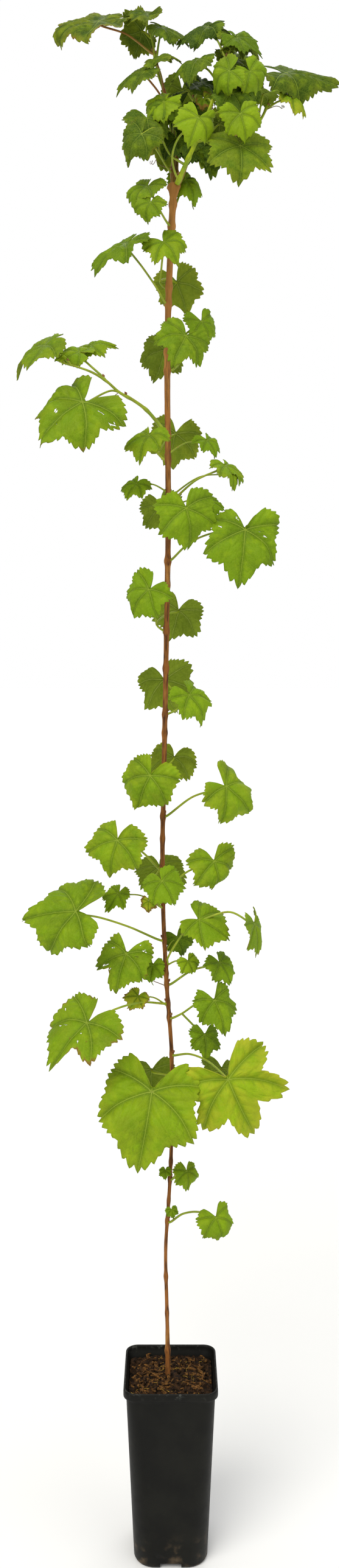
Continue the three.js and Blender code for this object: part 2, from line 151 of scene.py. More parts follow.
def find_blades(points, triangles):
    """Each blade in a node: its heart, upper normal, tip direction, reach, and how fast it droops."""
    blades = []
    corners = np.bincount(triangles.ravel(), minlength=len(points))
    for centre in np.argsort(-corners):
        if corners[centre] < HEART_CORNERS:
            break
        fan = triangles[(triangles == centre).any(1)]
        ring = np.unique(fan[fan != centre])
        arms = points[ring] - points[centre]
        a, b, c = (points[fan[:, k]] for k in range(3))
        normal = unit(np.cross(b - a, c - a).sum(0))
        sag = 0
        for _ in range(4):
            x, y = square_to(normal)
            u, v, h = arms @ x, arms @ y, arms @ normal
            lean = np.linalg.lstsq(np.stack([u, v, -(u * u + v * v)], 1), h, rcond=None)[0]
            normal = unit(normal - lean[0] * x - lean[1] * y)
            sag = lean[2]
        x, y = square_to(normal)
        score, reach, tip = fit_rim(np.stack([arms @ x, arms @ y], 1))
        if score < LEAST_FIT or sag < 0:
            continue
        if any(np.linalg.norm(points[centre] - blade["heart"]) < 6 * MM for blade in blades):
            continue
        blades.append({
            "heart": points[centre], "up": normal, "reach": reach, "sag": sag,
            "tip": math.cos(tip) * x + math.sin(tip) * y,
        })
    return blades


def groups_of(points, gap):
    """Groups of points that lie closer together than gap, as lists of their places."""
    left = set(range(len(points)))
    groups = []
    while left:
        group = [left.pop()]
        for place in group:
            near = [k for k in left if np.linalg.norm(points[k] - points[place]) < gap]
            left.difference_update(near)
            group.extend(near)
        groups.append(group)
    return groups


def limb_line(name, parent, gap):
    """A limb's centre line and the radii along it, from the rings of its CAD tube and from its parent out."""
    points, _ = node_points(name)
    rings = [points[g] for g in groups_of(points, gap) if len(g) >= 4]
    centres = np.array([ring.mean(0) for ring in rings])
    radii = np.array([np.sort(np.linalg.norm(ring - ring.mean(0), axis=1))[len(ring) // 2] for ring in rings])
    order = [int(np.argmin([np.linalg.norm(parent - centre, axis=1).min() for centre in centres]))]
    while len(order) < len(centres):
        gaps = np.linalg.norm(centres - centres[order[-1]], axis=1)
        gaps[order] = FAR
        order.append(int(np.argmin(gaps)))
    return centres[order], radii[order]


def smooth_line(points, values, step):
    """A smooth curve through points, sampled about every step, with values carried along it."""
    points = np.asarray(points, float)
    values = np.asarray(values, float)
    padded = np.vstack([2 * points[0] - points[1], points, 2 * points[-1] - points[-2]])
    line, carried = [], []
    for k in range(len(points) - 1):
        p = padded[k:k + 4]
        t = np.concatenate([[0], np.cumsum(np.sqrt(np.linalg.norm(np.diff(p, axis=0), axis=1)) + 1e-6)])
        count = max(2, int(np.linalg.norm(p[2] - p[1]) / step))
        s = t[1] + (t[2] - t[1]) * np.arange(count)[:, None] / count

        def blend(a, b, ta, tb):
            return (tb - s) / (tb - ta) * a + (s - ta) / (tb - ta) * b

        a = [blend(p[i], p[i + 1], t[i], t[i + 1]) for i in range(3)]
        b = [blend(a[i], a[i + 1], t[i], t[i + 2]) for i in range(2)]
        line.append(blend(b[0], b[1], t[1], t[2]))
        share = np.arange(count) / count
        carried.append(values[k] + (values[k + 1] - values[k]) * share)
    line.append(points[-1:])
    carried.append(values[-1:])
    return np.vstack(line), np.concatenate(carried)


def stalk_lines(points, triangles, blades, limb):
    """The stalks of a node: lines of points from each heart down to the limb; twins meet at a fork."""
    stalk = np.ones(len(points), bool)
    for blade in blades:
        arms = points - blade["heart"]
        h = arms @ blade["up"]
        r = np.linalg.norm(arms - h[:, None] * blade["up"], axis=1)
        shell = (h < 1 * MM) & (h > -blade["sag"] * blade["reach"] * r - BLADE_DEPTH - 1 * MM)
        stalk &= ~(shell & (r < blade["reach"] * 1.03) & ((r > 4 * MM) | (h > -1.5 * MM)))
    places = np.flatnonzero(stalk)
    groups = [places[g] for g in groups_of(points[places], STALK_RING_GAP)]
    groups = [g for g in groups if len(g) >= 3] or groups
    spots = np.array([points[g].mean(0) for g in groups] + [blade["heart"] for blade in blades])
    member = {}
    for k, group in enumerate(groups):
        for place in group:
            member[place] = k
    joined = set()
    for triangle in triangles:
        kinds = {member[i] for i in triangle if i in member}
        joined.update((a, b) for a in kinds for b in kinds if a < b)
    count = len(spots)
    gaps = np.linalg.norm(spots[:, None] - spots[None], axis=2)
    cost = gaps.copy()
    for a, b in joined:
        cost[a, b] = cost[b, a] = gaps[a, b] * 0.2
    for k in range(len(groups), count):
        nearest = np.argsort(gaps[k][:len(groups)])[0]
        cost[k, :] = cost[:, k] = FAR
        cost[k, nearest] = cost[nearest, k] = 0.001
    root = int(np.argmin([np.linalg.norm(limb - spot, axis=1).min() for spot in spots[:len(groups)]]))
    parent = {root: None}
    while len(parent) < count:
        inside = list(parent)
        outside = [k for k in range(count) if k not in parent]
        part = cost[np.ix_(inside, outside)]
        i, j = np.unravel_index(np.argmin(part), part.shape)
        parent[outside[j]] = inside[i]
    lines, used = [], set()
    for k in range(len(groups), count):
        line = []
        at = k
        while at is not None:
            line.append(at)
            if at in used:
                break
            used.add(at)
            at = parent[at]
        lines.append(([spots[i] for i in line], at is None))
    return lines


# ---- meshes ----
def put_in_scene(name, data):
    """Makes an object of a mesh, lamp or camera."""
    thing = bpy.data.objects.new(name, data)
    bpy.context.collection.objects.link(thing)
    return thing


class Body:
    """Points, faces, materials and shading numbers that become one object."""

    def __init__(self):
        self.points, self.faces, self.kinds, self.uvs, self.veins, self.tints = [], [], [], [], [], []
        self.count = 0

    def add(self, points, faces, kinds=0, uv=None, vein=None, tint=(0.0, 0.0, 0.5)):
        """faces is a list of arrays of point places; uv and vein have one row for each corner of a face."""
        points = np.asarray(points, float)
        corners = sum(f.size for f in faces)
        total = sum(len(f) for f in faces)
        self.faces.extend(f + self.count for f in faces)
        self.points.append(points)
        self.count += len(points)
        self.kinds.append(np.full(total, kinds) if np.isscalar(kinds) else np.asarray(kinds))
        self.uvs.append(np.zeros((corners, 2)) if uv is None else uv)
        self.veins.append(np.zeros((corners, 3)) if vein is None else vein)
        self.tints.append(np.broadcast_to(tint, (len(points), 3)))

    def build(self, name, materials, smooth=True, baked=False):
        """Makes the object."""
        mesh = bpy.data.meshes.new(name)
        faces = [row for block in self.faces for row in block.tolist()]
        mesh.from_pydata(np.vstack(self.points).tolist(), [], faces)
        for material in materials:
            mesh.materials.append(material)
        mesh.polygons.foreach_set("material_index", np.concatenate(self.kinds).astype(np.int32))
        mesh.polygons.foreach_set("use_smooth", np.full(len(faces), smooth))
        if baked:
            layer = mesh.uv_layers.new(name="OFBake")
            layer.data.foreach_set("uv", np.vstack(self.uvs).astype(np.float32).ravel())
        vein = mesh.attributes.new("vein", "FLOAT_VECTOR", "CORNER")
        vein.data.foreach_set("vector", np.vstack(self.veins).astype(np.float32).ravel())
        tint = mesh.attributes.new("tint", "FLOAT_VECTOR", "POINT")
        tint.data.foreach_set("vector", np.vstack(self.tints).astype(np.float32).ravel())
        mesh.update()
        thing = put_in_scene(name, mesh)
        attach(thing, "root")
        return thing


def frames_along(line):
    """Unit directions along a line, and two unit vectors square to each that don't twist."""
    along = np.gradient(line, axis=0)
    along /= np.linalg.norm(along, axis=1)[:, None]
    across = np.empty_like(along)
    across[0] = square_to(along[0])[0]
    for k in range(1, len(line)):
        carried = across[k - 1] - along[k] * (across[k - 1] @ along[k])
        across[k] = unit(carried)
    return along, across, np.cross(along, across)


def sweep(line, radii, sides, relief=None):
    """A closed tube round a line. relief(ring directions, line) gives the height to add to each radius."""
    along, across, third = frames_along(line)
    angles = np.arange(sides) * 2 * math.pi / sides
    ring = across[:, None] * np.cos(angles)[None, :, None] + third[:, None] * np.sin(angles)[None, :, None]
    width = np.repeat(np.asarray(radii, float)[:, None], sides, axis=1)
    if relief is not None:
        width = width + relief(ring, line)
    points = (line[:, None] + ring * width[:, :, None]).reshape(-1, 3)
    count = len(line)
    ends = np.vstack([line[0] - along[0] * radii[0] * 0.3, line[-1] + along[-1] * radii[-1] * 0.6])
    points = np.vstack([points, ends])
    k = np.arange(count - 1)[:, None] * sides
    i = np.arange(sides)[None]
    j = (i + 1) % sides
    quads = np.stack([k + i, k + j, k + sides + j, k + sides + i], 2).reshape(-1, 4)
    i, j = i[0], j[0]
    last = (count - 1) * sides
    foot = np.stack([np.full(sides, count * sides), j, i], 1)
    head = np.stack([np.full(sides, count * sides + 1), last + i, last + j], 1)
    return points, [quads, foot, head]


# ---- leaf blades ----
def outline(bearing, look, rng):
    """Reach of a blade's edge at each bearing (radians from the tip), as a share of the tip's own."""
    b = np.degrees(np.abs((bearing + math.pi) % (2 * math.pi) - math.pi))
    deep = 0.11 * look["lobing"]
    shape = np.interp(b, (0, 10, 27, 42, 52, 62, 79, 94, 106, 118, 132, 148, 164, 180), (
        1, 0.92, 0.77 - deep, 0.81, 0.86, 0.81, 0.67 - deep * 0.8, 0.69, 0.71, 0.68, 0.61, 0.54, 0.47, 0.4))
    sway = 1 + 0.05 * np.sin(bearing * 2 + rng.uniform(0, 6)) + 0.03 * np.sin(bearing * 5 + rng.uniform(0, 6))
    for place, width, depth in look["bites"]:
        shape = shape * (1 - depth * np.exp(-((np.degrees(bearing) - place) / width) ** 2))
    edge = 162 - 26 * look["open"]
    return shape * sway * (1 - 0.86 * ramp(edge, edge + 17, b))


def saw_edge(look, reach, rng):
    """Bearings and reach of the edge points: the outline with uneven teeth that lean towards their lobe."""
    teeth = int(np.clip(22 + reach / (3.2 * MM), 24, 50))
    edges = np.cumsum(rng.uniform(0.7, 1.3, teeth))
    edges = np.concatenate([[0], edges / edges[-1]]) * 2 * math.pi - math.pi
    lobes = np.radians([vein[0] for vein in MAIN_VEINS])
    bearings, heights = [], []
    for k in range(teeth):
        gap = edges[k + 1] - edges[k]
        middle = edges[k] + gap / 2
        nearest = lobes[np.argmin(np.abs(lobes - middle))]
        size = rng.uniform(0.6, 1.2) + 0.5 * math.exp(-((nearest - middle) / 0.16) ** 2)
        for share, height in SAW_BACK if nearest < middle else SAW_FORWARD:
            bearings.append(edges[k] + gap * share)
            heights.append(height * size)
    bearings, heights = np.array(bearings), np.array(heights)
    fade = ramp(math.radians(176), math.radians(150), np.abs(bearings))
    depth = 2.4 / teeth
    return bearings, outline(bearings, look, rng) * (1 + depth * heights * fade)


def bend_sheet(u, v, h, bearing, start, angle):
    """Bends a sheet down about a line: bearing is the way to the bent side, start how far out it begins."""
    c, s = math.cos(math.radians(bearing)), math.sin(math.radians(bearing))
    q, p = u * c + v * s, -u * s + v * c
    beyond = np.maximum(q - start, 0)
    full = math.radians(abs(angle))
    down = math.copysign(1, angle)
    turned = np.minimum(beyond * BEND_CURVE, full)
    straight = np.maximum(beyond - full / BEND_CURVE, 0)
    reach = np.sin(turned) / BEND_CURVE + straight * np.cos(turned)
    drop = (1 - np.cos(turned)) / BEND_CURVE + straight * np.sin(turned)
    q = np.where(q > start, start + reach, q) + h * np.sin(turned) * down
    h = h * np.cos(turned) - down * drop
    return q * c - p * s, q * s + p * c, h


def add_blade(body, blade, look, rng, islands):
    """Adds a leaf blade: a thin closed sheet with pads between its veins, bent lobes and a saw edge."""
    reach = blade["reach"]
    rings = 9 + int(reach / RING_SPACING)
    bearings, edge = saw_edge(look, reach, rng)
    shares = np.linspace(0, 1, rings + 1)[1:] ** RING_BUNCHING
    steps = len(bearings)
    r = shares[:, None] * edge[None]
    b = np.broadcast_to(bearings[None], r.shape)
    u = np.concatenate([[0], (r * np.cos(b)).ravel()])
    v = np.concatenate([[0], (r * np.sin(b)).ravel()])
    share = np.concatenate([[0], np.repeat(shares, steps)])
    radius = np.hypot(u, v)
    count = len(u)

    # faces of the upper side: a fan at the heart, then quads
    i = np.arange(steps)
    j = (i + 1) % steps
    fan = np.stack([np.zeros(steps, int), 1 + i, 1 + j], 1)
    k = 1 + np.arange(rings - 1)[:, None] * steps
    quads = np.stack([k + i, k + steps + i, k + steps + j, k + j], 2).reshape(-1, 4)

    # holes: small groups of faces left out, with a wall round each
    kept = np.ones((rings - 1, steps), bool)
    for _ in range(look["holes"]):
        ring, step = rng.integers(rings // 3, rings - 3), rng.integers(0, steps)
        for _ in range(rng.integers(2, 8)):
            kept[ring, step] = False
            ring = np.clip(ring + rng.integers(-1, 2), rings // 3, rings - 3)
            step = (step + rng.integers(-1, 2)) % steps
    grid = quads.reshape(rings - 1, steps, 4)
    hole_walls = []
    for shift, axis, a, b in ((-1, 1, 0, 1), (1, 0, 1, 2), (1, 1, 2, 3), (-1, 0, 3, 0)):
        bordering = grid[kept & ~np.roll(kept, -shift, axis)]
        start, end = bordering[:, a], bordering[:, b]
        hole_walls.append(np.stack([start, start + count, end + count, end], 1))
    hole_walls = np.vstack(hole_walls)
    surface = quads
    quads = quads[kept.ravel()]

    # how far points lie along and across each main vein, which bows away from the tip
    ways = np.radians([vein[0] for vein in MAIN_VEINS])
    reaches = np.array([vein[1] for vein in MAIN_VEINS])
    bows = np.array([vein[2] for vein in MAIN_VEINS]) + rng.uniform(-0.08, 0.08, len(ways))

    def to_veins(x, y):
        along = x[:, None] * np.cos(ways) + y[:, None] * np.sin(ways)
        across = -x[:, None] * np.sin(ways) + y[:, None] * np.cos(ways)
        return along, across + bows * along * (along - reaches)

    along, across = to_veins(u, v)
    near = np.argmin(np.where(along > BEHIND_HEART, np.abs(across), FAR), axis=1)
    rows = np.arange(count)
    along_near, across_near = along[rows, near], across[rows, near]
    far = np.abs(across_near)

    # heights, as shares of the reach
    pad = look["pad"] * (1 - np.exp(-(far / PAD_WIDTH) ** 2)) * ramp(0, HEART_FADE, radius)
    slant = along_near - SIDE_SLANT * far - SIDE_CURVE * far ** 2 + SIDE_SHIFT * np.sign(across_near)
    side = -SIDE_DIP * look["pad"] * np.cos(slant * 2 * math.pi / SIDE_SPACING)
    side = side * ramp(0.015, 0.08, far) * ramp(0.08, HEART_FADE, radius)
    fold = look["fold"] * far * ramp(0, 0.5, radius)
    wave = look["wave"] * share ** 2.0 * np.sin(3 * np.arctan2(v, u) + rng.uniform(0, 6))
    frill = look["wave"] * 0.6 * share ** 3 * np.sin(8 * np.arctan2(v, u) + rng.uniform(0, 6))
    height = -blade["sag"] * reach * radius ** 2 + pad + side + fold + wave + frill
    x, y, z = u, v, height
    for bearing, start, angle in look["bends"]:
        x, y, z = bend_sheet(x, y, z, bearing, start, angle)
    up, tip = blade["up"], blade["tip"]
    across_way = np.cross(up, tip)

    def in_space(x, y, z):
        return blade["heart"] + reach * (x[:, None] * tip + y[:, None] * across_way + z[:, None] * up)

    # normals of the bent sheet, so that its two sides lie apart evenly
    middle = in_space(x, y, z)
    a, b, c = middle[surface[:, 0]], middle[surface[:, 1]], middle[surface[:, 3]]
    normals = np.zeros_like(middle)
    face_normals = np.cross(b - a, c - a)
    for corner in range(4):
        np.add.at(normals, surface[:, corner], face_normals)
    normals[0] = up
    normals /= np.linalg.norm(normals, axis=1)[:, None] + 1e-12
    points = np.vstack([middle + SHEET * normals, middle - SHEET * normals])

    rim = 1 + (rings - 1) * steps
    wall = np.stack([rim + i, rim + i + count, rim + j + count, rim + j], 1)

    def corner_numbers(faces):
        """For each corner: how far along and across its face's vein it lies, and its share of the way out."""
        x, y = u[faces % count], v[faces % count]
        middle_along, middle_across = to_veins(x.mean(1), y.mean(1))
        own = np.argmin(np.where(middle_along > BEHIND_HEART, np.abs(middle_across), FAR), axis=1)
        corner_along, corner_across = to_veins(x.ravel(), y.ravel())
        own = np.repeat(own, faces.shape[1])
        at = np.arange(len(own))
        return np.stack([corner_along[at, own], corner_across[at, own], share[faces % count].ravel()], 1)

    def corner_uv(faces, island):
        left, low, width, depth = island
        x, y = u[faces % count].ravel(), v[faces % count].ravel()
        along_share = (x + TEXTURE_BEHIND) / TEXTURE_LENGTH
        return np.stack([left + width * (y * 0.5 + 0.5), low + depth * along_share], 1)

    blocks = ((fan, 0, islands[0]), (quads, 0, islands[0]), (fan[:, ::-1] + count, 1, islands[1]),
              (quads[:, ::-1] + count, 1, islands[1]), (wall, 1, islands[1]), (hole_walls, 1, islands[1]))
    blocks = [block for block in blocks if len(block[0])]
    faces = [block for block, _, _ in blocks]
    kinds = np.concatenate([np.full(len(block), kind) for block, kind, _ in blocks])
    vein = np.vstack([corner_numbers(block) for block in faces])
    uv = np.vstack([corner_uv(block, island) for block, _, island in blocks])
    tint = (look["yellow"], look["brown"], look["light"])
    body.add(points, faces, kinds, uv, vein, tint)

    # the main veins stand out as ribs on the underside
    for way, length, bow in zip(ways, reaches, bows):
        t = np.linspace(0.0, RIB_SHARES[-1], RIB_POINTS)
        aside = bow * length * t * (length - length * t)
        x = length * t * math.cos(way) - aside * math.sin(way)
        y = length * t * math.sin(way) + aside * math.cos(way)
        place = np.array([np.argmin((u - a) ** 2 + (v - c) ** 2) for a, c in zip(x, y)])
        thick = reach * np.interp(t, RIB_SHARES, RIB_RADII)
        line = middle[place] - normals[place] * (SHEET + thick * 0.3)[:, None]
        line[1:-1] = (line[:-2] + 2 * line[1:-1] + line[2:]) / 4
        rib, rib_faces = sweep(line, thick, 5)
        corners = sum(f.size for f in rib_faces)
        left, low, width, depth = islands[1]
        spot = np.tile([left + width / 2, low + depth * 0.36], (corners, 1))
        body.add(rib, rib_faces, 1, spot, np.zeros((corners, 3)), tint)


def add_tube(body, points, radii, sides=7, step=3 * MM, kind=0):
    """Adds a smooth tube through a few points."""
    line, radii = smooth_line(points, radii, step)
    made, faces = sweep(line, radii, sides)
    body.add(made, faces, kind)


# ---- materials ----
class Shade:
    """Builds one material's nodes."""

    def __init__(self, name, roughness, specular=0.5):
        self.material = bpy.data.materials.new(name)
        self.material.use_nodes = True
        self.tree = self.material.node_tree
        self.shader = self.tree.nodes["Principled BSDF"]
        self.shader.inputs["Roughness"].default_value = roughness
        self.shader.inputs["Specular IOR Level"].default_value = specular

    def put(self, node, socket, value):
        """Sets or links an input of a node."""
        target = node.inputs[socket]
        if isinstance(value, bpy.types.NodeSocket):
            self.tree.links.new(value, target)
        elif isinstance(value, tuple) and len(value) == 3 and target.type == "RGBA":
            target.default_value = (*value, 1)
        else:
            target.default_value = value

    def math(self, operation, *values, clamp=False):
        """A math node's result."""
        node = self.tree.nodes.new("ShaderNodeMath")
        node.operation = operation
        node.use_clamp = clamp
        for k, value in enumerate(values):
            self.put(node, k, value)
        return node.outputs[0]

    def times(self, a, b, clamp=False):
        """a times b."""
        return self.math("MULTIPLY", a, b, clamp=clamp)

    def scaled(self, value, by, plus):
        """value times by, plus plus."""
        return self.math("MULTIPLY_ADD", value, by, plus)

    def rise(self, low, high, value):
        """0 at low, 1 at high, and smooth between."""
        node = self.tree.nodes.new("ShaderNodeMapRange")
        node.interpolation_type = "SMOOTHSTEP"
        self.put(node, "Value", value)
        self.put(node, "From Min", low)
        self.put(node, "From Max", high)
        return node.outputs[0]

    def mix(self, share, a, b):
        node = self.tree.nodes.new("ShaderNodeMix")
        node.data_type = "RGBA"
        for socket, value in ((0, share), (6, a), (7, b)):
            self.put(node, socket, value)
        return node.outputs[2]

    def stain(self, colour, other, share, strength, clamp=False):
        """A colour with another laid over it, as far as share times strength says."""
        return self.mix(self.times(share, strength, clamp), colour, other)

    def attribute(self, name):
        """The three numbers of a mesh attribute."""
        source = self.tree.nodes.new("ShaderNodeAttribute")
        source.attribute_name = name
        split = self.tree.nodes.new("ShaderNodeSeparateXYZ")
        self.put(split, 0, source.outputs["Vector"])
        return split.outputs[0], split.outputs[1], split.outputs[2]

    def place(self, stretch=(1, 1, 1)):
        """The point's place on the object, stretched."""
        source = self.tree.nodes.new("ShaderNodeTexCoord")
        node = self.tree.nodes.new("ShaderNodeMapping")
        self.put(node, "Vector", source.outputs["Object"])
        node.inputs["Scale"].default_value = stretch
        return node.outputs[0]

    def height(self):
        """The point's height in metres."""
        split = self.tree.nodes.new("ShaderNodeSeparateXYZ")
        self.put(split, 0, self.place())
        return split.outputs[2]

    def noise(self, scale, detail=3, stretch=(1, 1, 1), distortion=0.0):
        node = self.tree.nodes.new("ShaderNodeTexNoise")
        self.put(node, "Vector", self.place(stretch))
        node.inputs["Scale"].default_value = scale
        node.inputs["Detail"].default_value = detail
        node.inputs["Distortion"].default_value = distortion
        return node.outputs["Fac"]

    def cells(self, scale, feature="DISTANCE_TO_EDGE"):
        node = self.tree.nodes.new("ShaderNodeTexVoronoi")
        node.feature = feature
        self.put(node, "Vector", self.place())
        node.inputs["Scale"].default_value = scale
        return node.outputs["Distance"]

    def bump(self, height, strength, distance):
        node = self.tree.nodes.new("ShaderNodeBump")
        node.inputs["Strength"].default_value = strength
        node.inputs["Distance"].default_value = distance
        self.put(node, "Height", height)
        self.put(self.shader, "Normal", node.outputs[0])

    def colour(self, value):
        self.put(self.shader, "Base Color", value)


def srgb(red, green, blue):
    """A colour as it looks, from 0 to 255, as the linear numbers that Blender wants."""
    def linear(value):
        value /= 255
        return value / 12.92 if value <= 0.04045 else ((value + 0.055) / 1.055) ** 2.4
    return linear(red), linear(green), linear(blue)


def leaf_material(name, dark, middle, light, vein_colour, roughness, vein_strength):
    """A leaf surface: pale veins, a fine net, yellowing between the veins and brown edges."""
    s = Shade(name, roughness, 0.12)
    dark, middle, light, vein_colour = (srgb(*c) for c in (dark, middle, light, vein_colour))
    along, across, share = s.attribute("vein")
    yellow, brown, tone_and_painted_shade = s.attribute("tint")
    far = s.math("ABSOLUTE", across)
    # the green from dark to light by the leaf's tone; its low values on leaves in the head are painted shade
    green = s.mix(s.rise(0.0, 0.5, tone_and_painted_shade), dark, middle)
    green = s.mix(s.rise(0.5, 1.0, tone_and_painted_shade), green, light)
    green = s.stain(green, dark, s.rise(0.42, 0.7, s.noise(30, 3)), 0.32)
    green = s.stain(green, light, s.rise(0.52, 0.3, s.noise(90, 4)), 0.26)

    # the main vein, the side veins on both sides of it, and the net between them
    width = s.scaled(along, -0.0065, 0.011)
    main = s.math("SUBTRACT", 1.0, s.rise(0.3, 1.0, s.math("DIVIDE", far, width)))
    slant = s.scaled(far, -SIDE_SLANT, along)
    slant = s.scaled(s.times(far, far), -SIDE_CURVE, slant)
    slant = s.scaled(s.math("SIGN", across), SIDE_SHIFT, slant)
    stripe = s.math("PINGPONG", slant, SIDE_SPACING / 2)
    thin = s.scaled(far, -0.007, 0.0055)
    side = s.math("SUBTRACT", 1.0, s.rise(0.2, 1.0, s.math("DIVIDE", stripe, thin)))
    side = s.times(side, s.times(s.rise(0.02, 0.1, along), s.rise(0.34, 0.2, far)))
    net = s.math("SUBTRACT", 1.0, s.rise(0.0, 0.16, s.cells(300)))

    # painted shade: darker in the creases beside the veins
    near_side = s.scaled(far, 0.35, s.scaled(stripe, 1.0, 0.012))
    away = s.rise(0.0, 0.07, s.math("MINIMUM", far, near_side))
    green = s.stain(green, dark, s.math("SUBTRACT", 1.0, away), 0.5)

    # yellow between the veins and at the edge, then brown scorch at the edge and brown spots
    mottle = s.times(away, s.rise(0.34, 0.62, s.noise(60, 3)))
    green = s.stain(green, srgb(166, 172, 34), mottle, yellow, True)
    rind = s.rise(0.78, 1.02, s.math("ADD", share, s.scaled(s.noise(75, 3), 0.5, -0.25)))
    green = s.stain(green, srgb(184, 180, 46), rind, s.times(yellow, 0.7), True)
    ragged = s.scaled(s.noise(55, 4), 0.7, -0.42)
    scorch = s.rise(0.98, 1.12, s.math("ADD", share, s.scaled(brown, 0.36, ragged)))
    spots = s.times(s.rise(0.18, 0.10, s.cells(150, "F1")), s.rise(0.56, 0.64, s.noise(45, 2)))
    spots = s.times(spots, s.times(brown, 2.0, True))
    brownness = s.math("MAXIMUM", s.times(scorch, s.rise(0.02, 0.2, brown)), spots)

    pale = s.math("MAXIMUM", main, s.times(side, 0.5))
    pale = s.math("MAXIMUM", pale, s.times(net, 0.22))
    green = s.stain(green, vein_colour, pale, vein_strength)
    s.colour(s.stain(green, srgb(128, 92, 40), brownness, 0.85))
    grain = s.scaled(s.noise(420, 3), 0.25, s.times(net, -0.35))
    s.bump(s.math("ADD", away, grain), 0.5, 0.0007)
    return s.material


def stalk_material(name, base, other, streak):
    """A green or reddish stalk with fine lengthwise streaks."""
    s = Shade(name, 0.5, 0.4)
    colour = s.mix(s.rise(0.35, 0.7, s.noise(55, 3)), srgb(*base), srgb(*other))
    s.colour(s.stain(colour, srgb(*streak), s.rise(0.5, 0.7, s.noise(700, 2, (1, 1, 0.06))), 0.5))
    s.bump(s.noise(900, 2, (1, 1, 0.05)), 0.3, 0.0003)
    return s.material


def bark_material(name, dark, middle, light, roughness=0.8, stretch=0.12):
    """Bark: lengthwise fibres, darker cracks and paler flakes, and painted light that makes it paler all over
    towards the knot.
    """
    s = Shade(name, roughness, 0.3)
    dark, middle, light = srgb(*dark), srgb(*middle), srgb(*light)
    fibre = s.noise(420, 5, (1, 1, stretch), 0.4)
    colour = s.mix(s.rise(0.32, 0.6, fibre), dark, middle)
    colour = s.stain(colour, light, s.rise(0.52, 0.74, s.noise(160, 4, (1, 1, stretch * 1.6))), 0.8)
    colour = s.stain(colour, dark, s.rise(0.45, 0.7, s.noise(18, 2)), 0.35)
    # painted light: paler towards the head, against the shade that the head casts on the upper stem
    s.colour(s.stain(colour, light, s.rise(1.2, 1.62, s.height()), 0.6))
    s.bump(fibre, 0.6, 0.0008)
    return s.material


UPPER = leaf_material("leaf_upper", (42, 66, 6), (112, 144, 10), (156, 182, 20), (156, 174, 56), 0.6, 0.55)
UNDER = leaf_material("leaf_under", (70, 92, 18), (112, 132, 30), (146, 166, 46), (162, 174, 76), 0.8, 0.5)
STALK_GREEN = stalk_material("stalk_green", (124, 146, 16), (152, 168, 30), (142, 108, 40))
STALK_RED = stalk_material("stalk_red", (146, 92, 34), (140, 128, 38), (122, 62, 32))
SHOOT_BRIGHT = stalk_material("shoot_bright", (132, 160, 6), (168, 184, 14), (92, 104, 16))
SHOOT_RED = stalk_material("shoot_red", (150, 98, 36), (124, 106, 34), (82, 48, 20))
TENDRIL = stalk_material("tendril", (134, 96, 50), (120, 116, 46), (96, 58, 34))
BARK = bark_material("bark", (72, 40, 14), (142, 88, 34), (184, 130, 64))
BARK_OLIVE = bark_material("bark_olive", (86, 72, 16), (140, 124, 30), (164, 128, 54), 0.65)
BUD = bark_material("bud", (84, 46, 28), (134, 80, 46), (150, 120, 74), 0.7, 0.5)


def pot_material():
    """Black moulded plastic with a satin grain, grey scuffs and a painted highlight towards the rim, and dust
    near the foot.
    """
    s = Shade("pot_plastic", 0.42, 0.16)
    height = s.height()
    colour = s.mix(s.rise(0.35, 0.7, s.noise(26, 4)), srgb(9, 9, 6), srgb(18, 18, 13))
    # grey towards the rim's top: partly scuffs, partly a painted highlight along the rim
    scuffs_and_painted_highlight = s.times(s.rise(0.54, 0.78, s.noise(240, 5)), s.rise(0.203, 0.2125, height))
    colour = s.stain(colour, srgb(92, 94, 88), scuffs_and_painted_highlight, 0.6)
    dust = s.times(s.rise(0.5, 0.75, s.noise(70, 5)), s.rise(0.045, 0.0, height))
    colour = s.stain(colour, srgb(106, 88, 66), dust, 0.7)
    specks = s.times(s.rise(0.10, 0.04, s.cells(420, "F1")), s.rise(0.55, 0.7, s.noise(60, 2)))
    s.colour(s.stain(colour, srgb(120, 112, 96), specks, 0.5))
    s.put(s.shader, "Roughness", s.scaled(s.noise(120, 4), 0.22, 0.4))
    s.bump(s.noise(1500, 2), 0.12, 0.0003)
    return s.material


def compost_material(name, dark, light, scale):
    """Crumbs or fibres of two browns."""
    s = Shade(name, 0.95, 0.15)
    s.colour(s.mix(s.rise(0.35, 0.68, s.noise(scale, 5)), srgb(*dark), srgb(*light)))
    s.bump(s.noise(scale * 3, 5), 0.8, 0.0012)
    return s.material


POT_PLASTIC = pot_material()
COMPOST = compost_material("compost", (20, 14, 9), (62, 42, 24), 260)
CHIP = compost_material("bark_chip", (56, 36, 18), (124, 86, 42), 380)
FIBRE = compost_material("coir_fibre", (110, 84, 30), (184, 150, 66), 500)

# ---- limbs ----
STEM_SLIMMING = 0.9
HEAD_TAPER = 1.04  # the CAD's last ring is the knot's, which the relief draws instead
LINE_STEP = 2.2 * MM
stem_line, stem_radii = limb_line("stem", np.zeros((1, 3)), STEM_RING_GAP)
STEM_HEAD = stem_line[-1]
stem_radii[-1] = stem_radii[-2] * HEAD_TAPER
stem_radii = stem_radii * STEM_SLIMMING
lines = {"stem": (stem_line, stem_radii)}
for limb in LIMBS[1:]:
    lines[limb] = limb_line(limb, stem_line, SHOOT_RING_GAP)
dense = {limb: smooth_line(line, radii, LINE_STEP) for limb, (line, radii) in lines.items()}
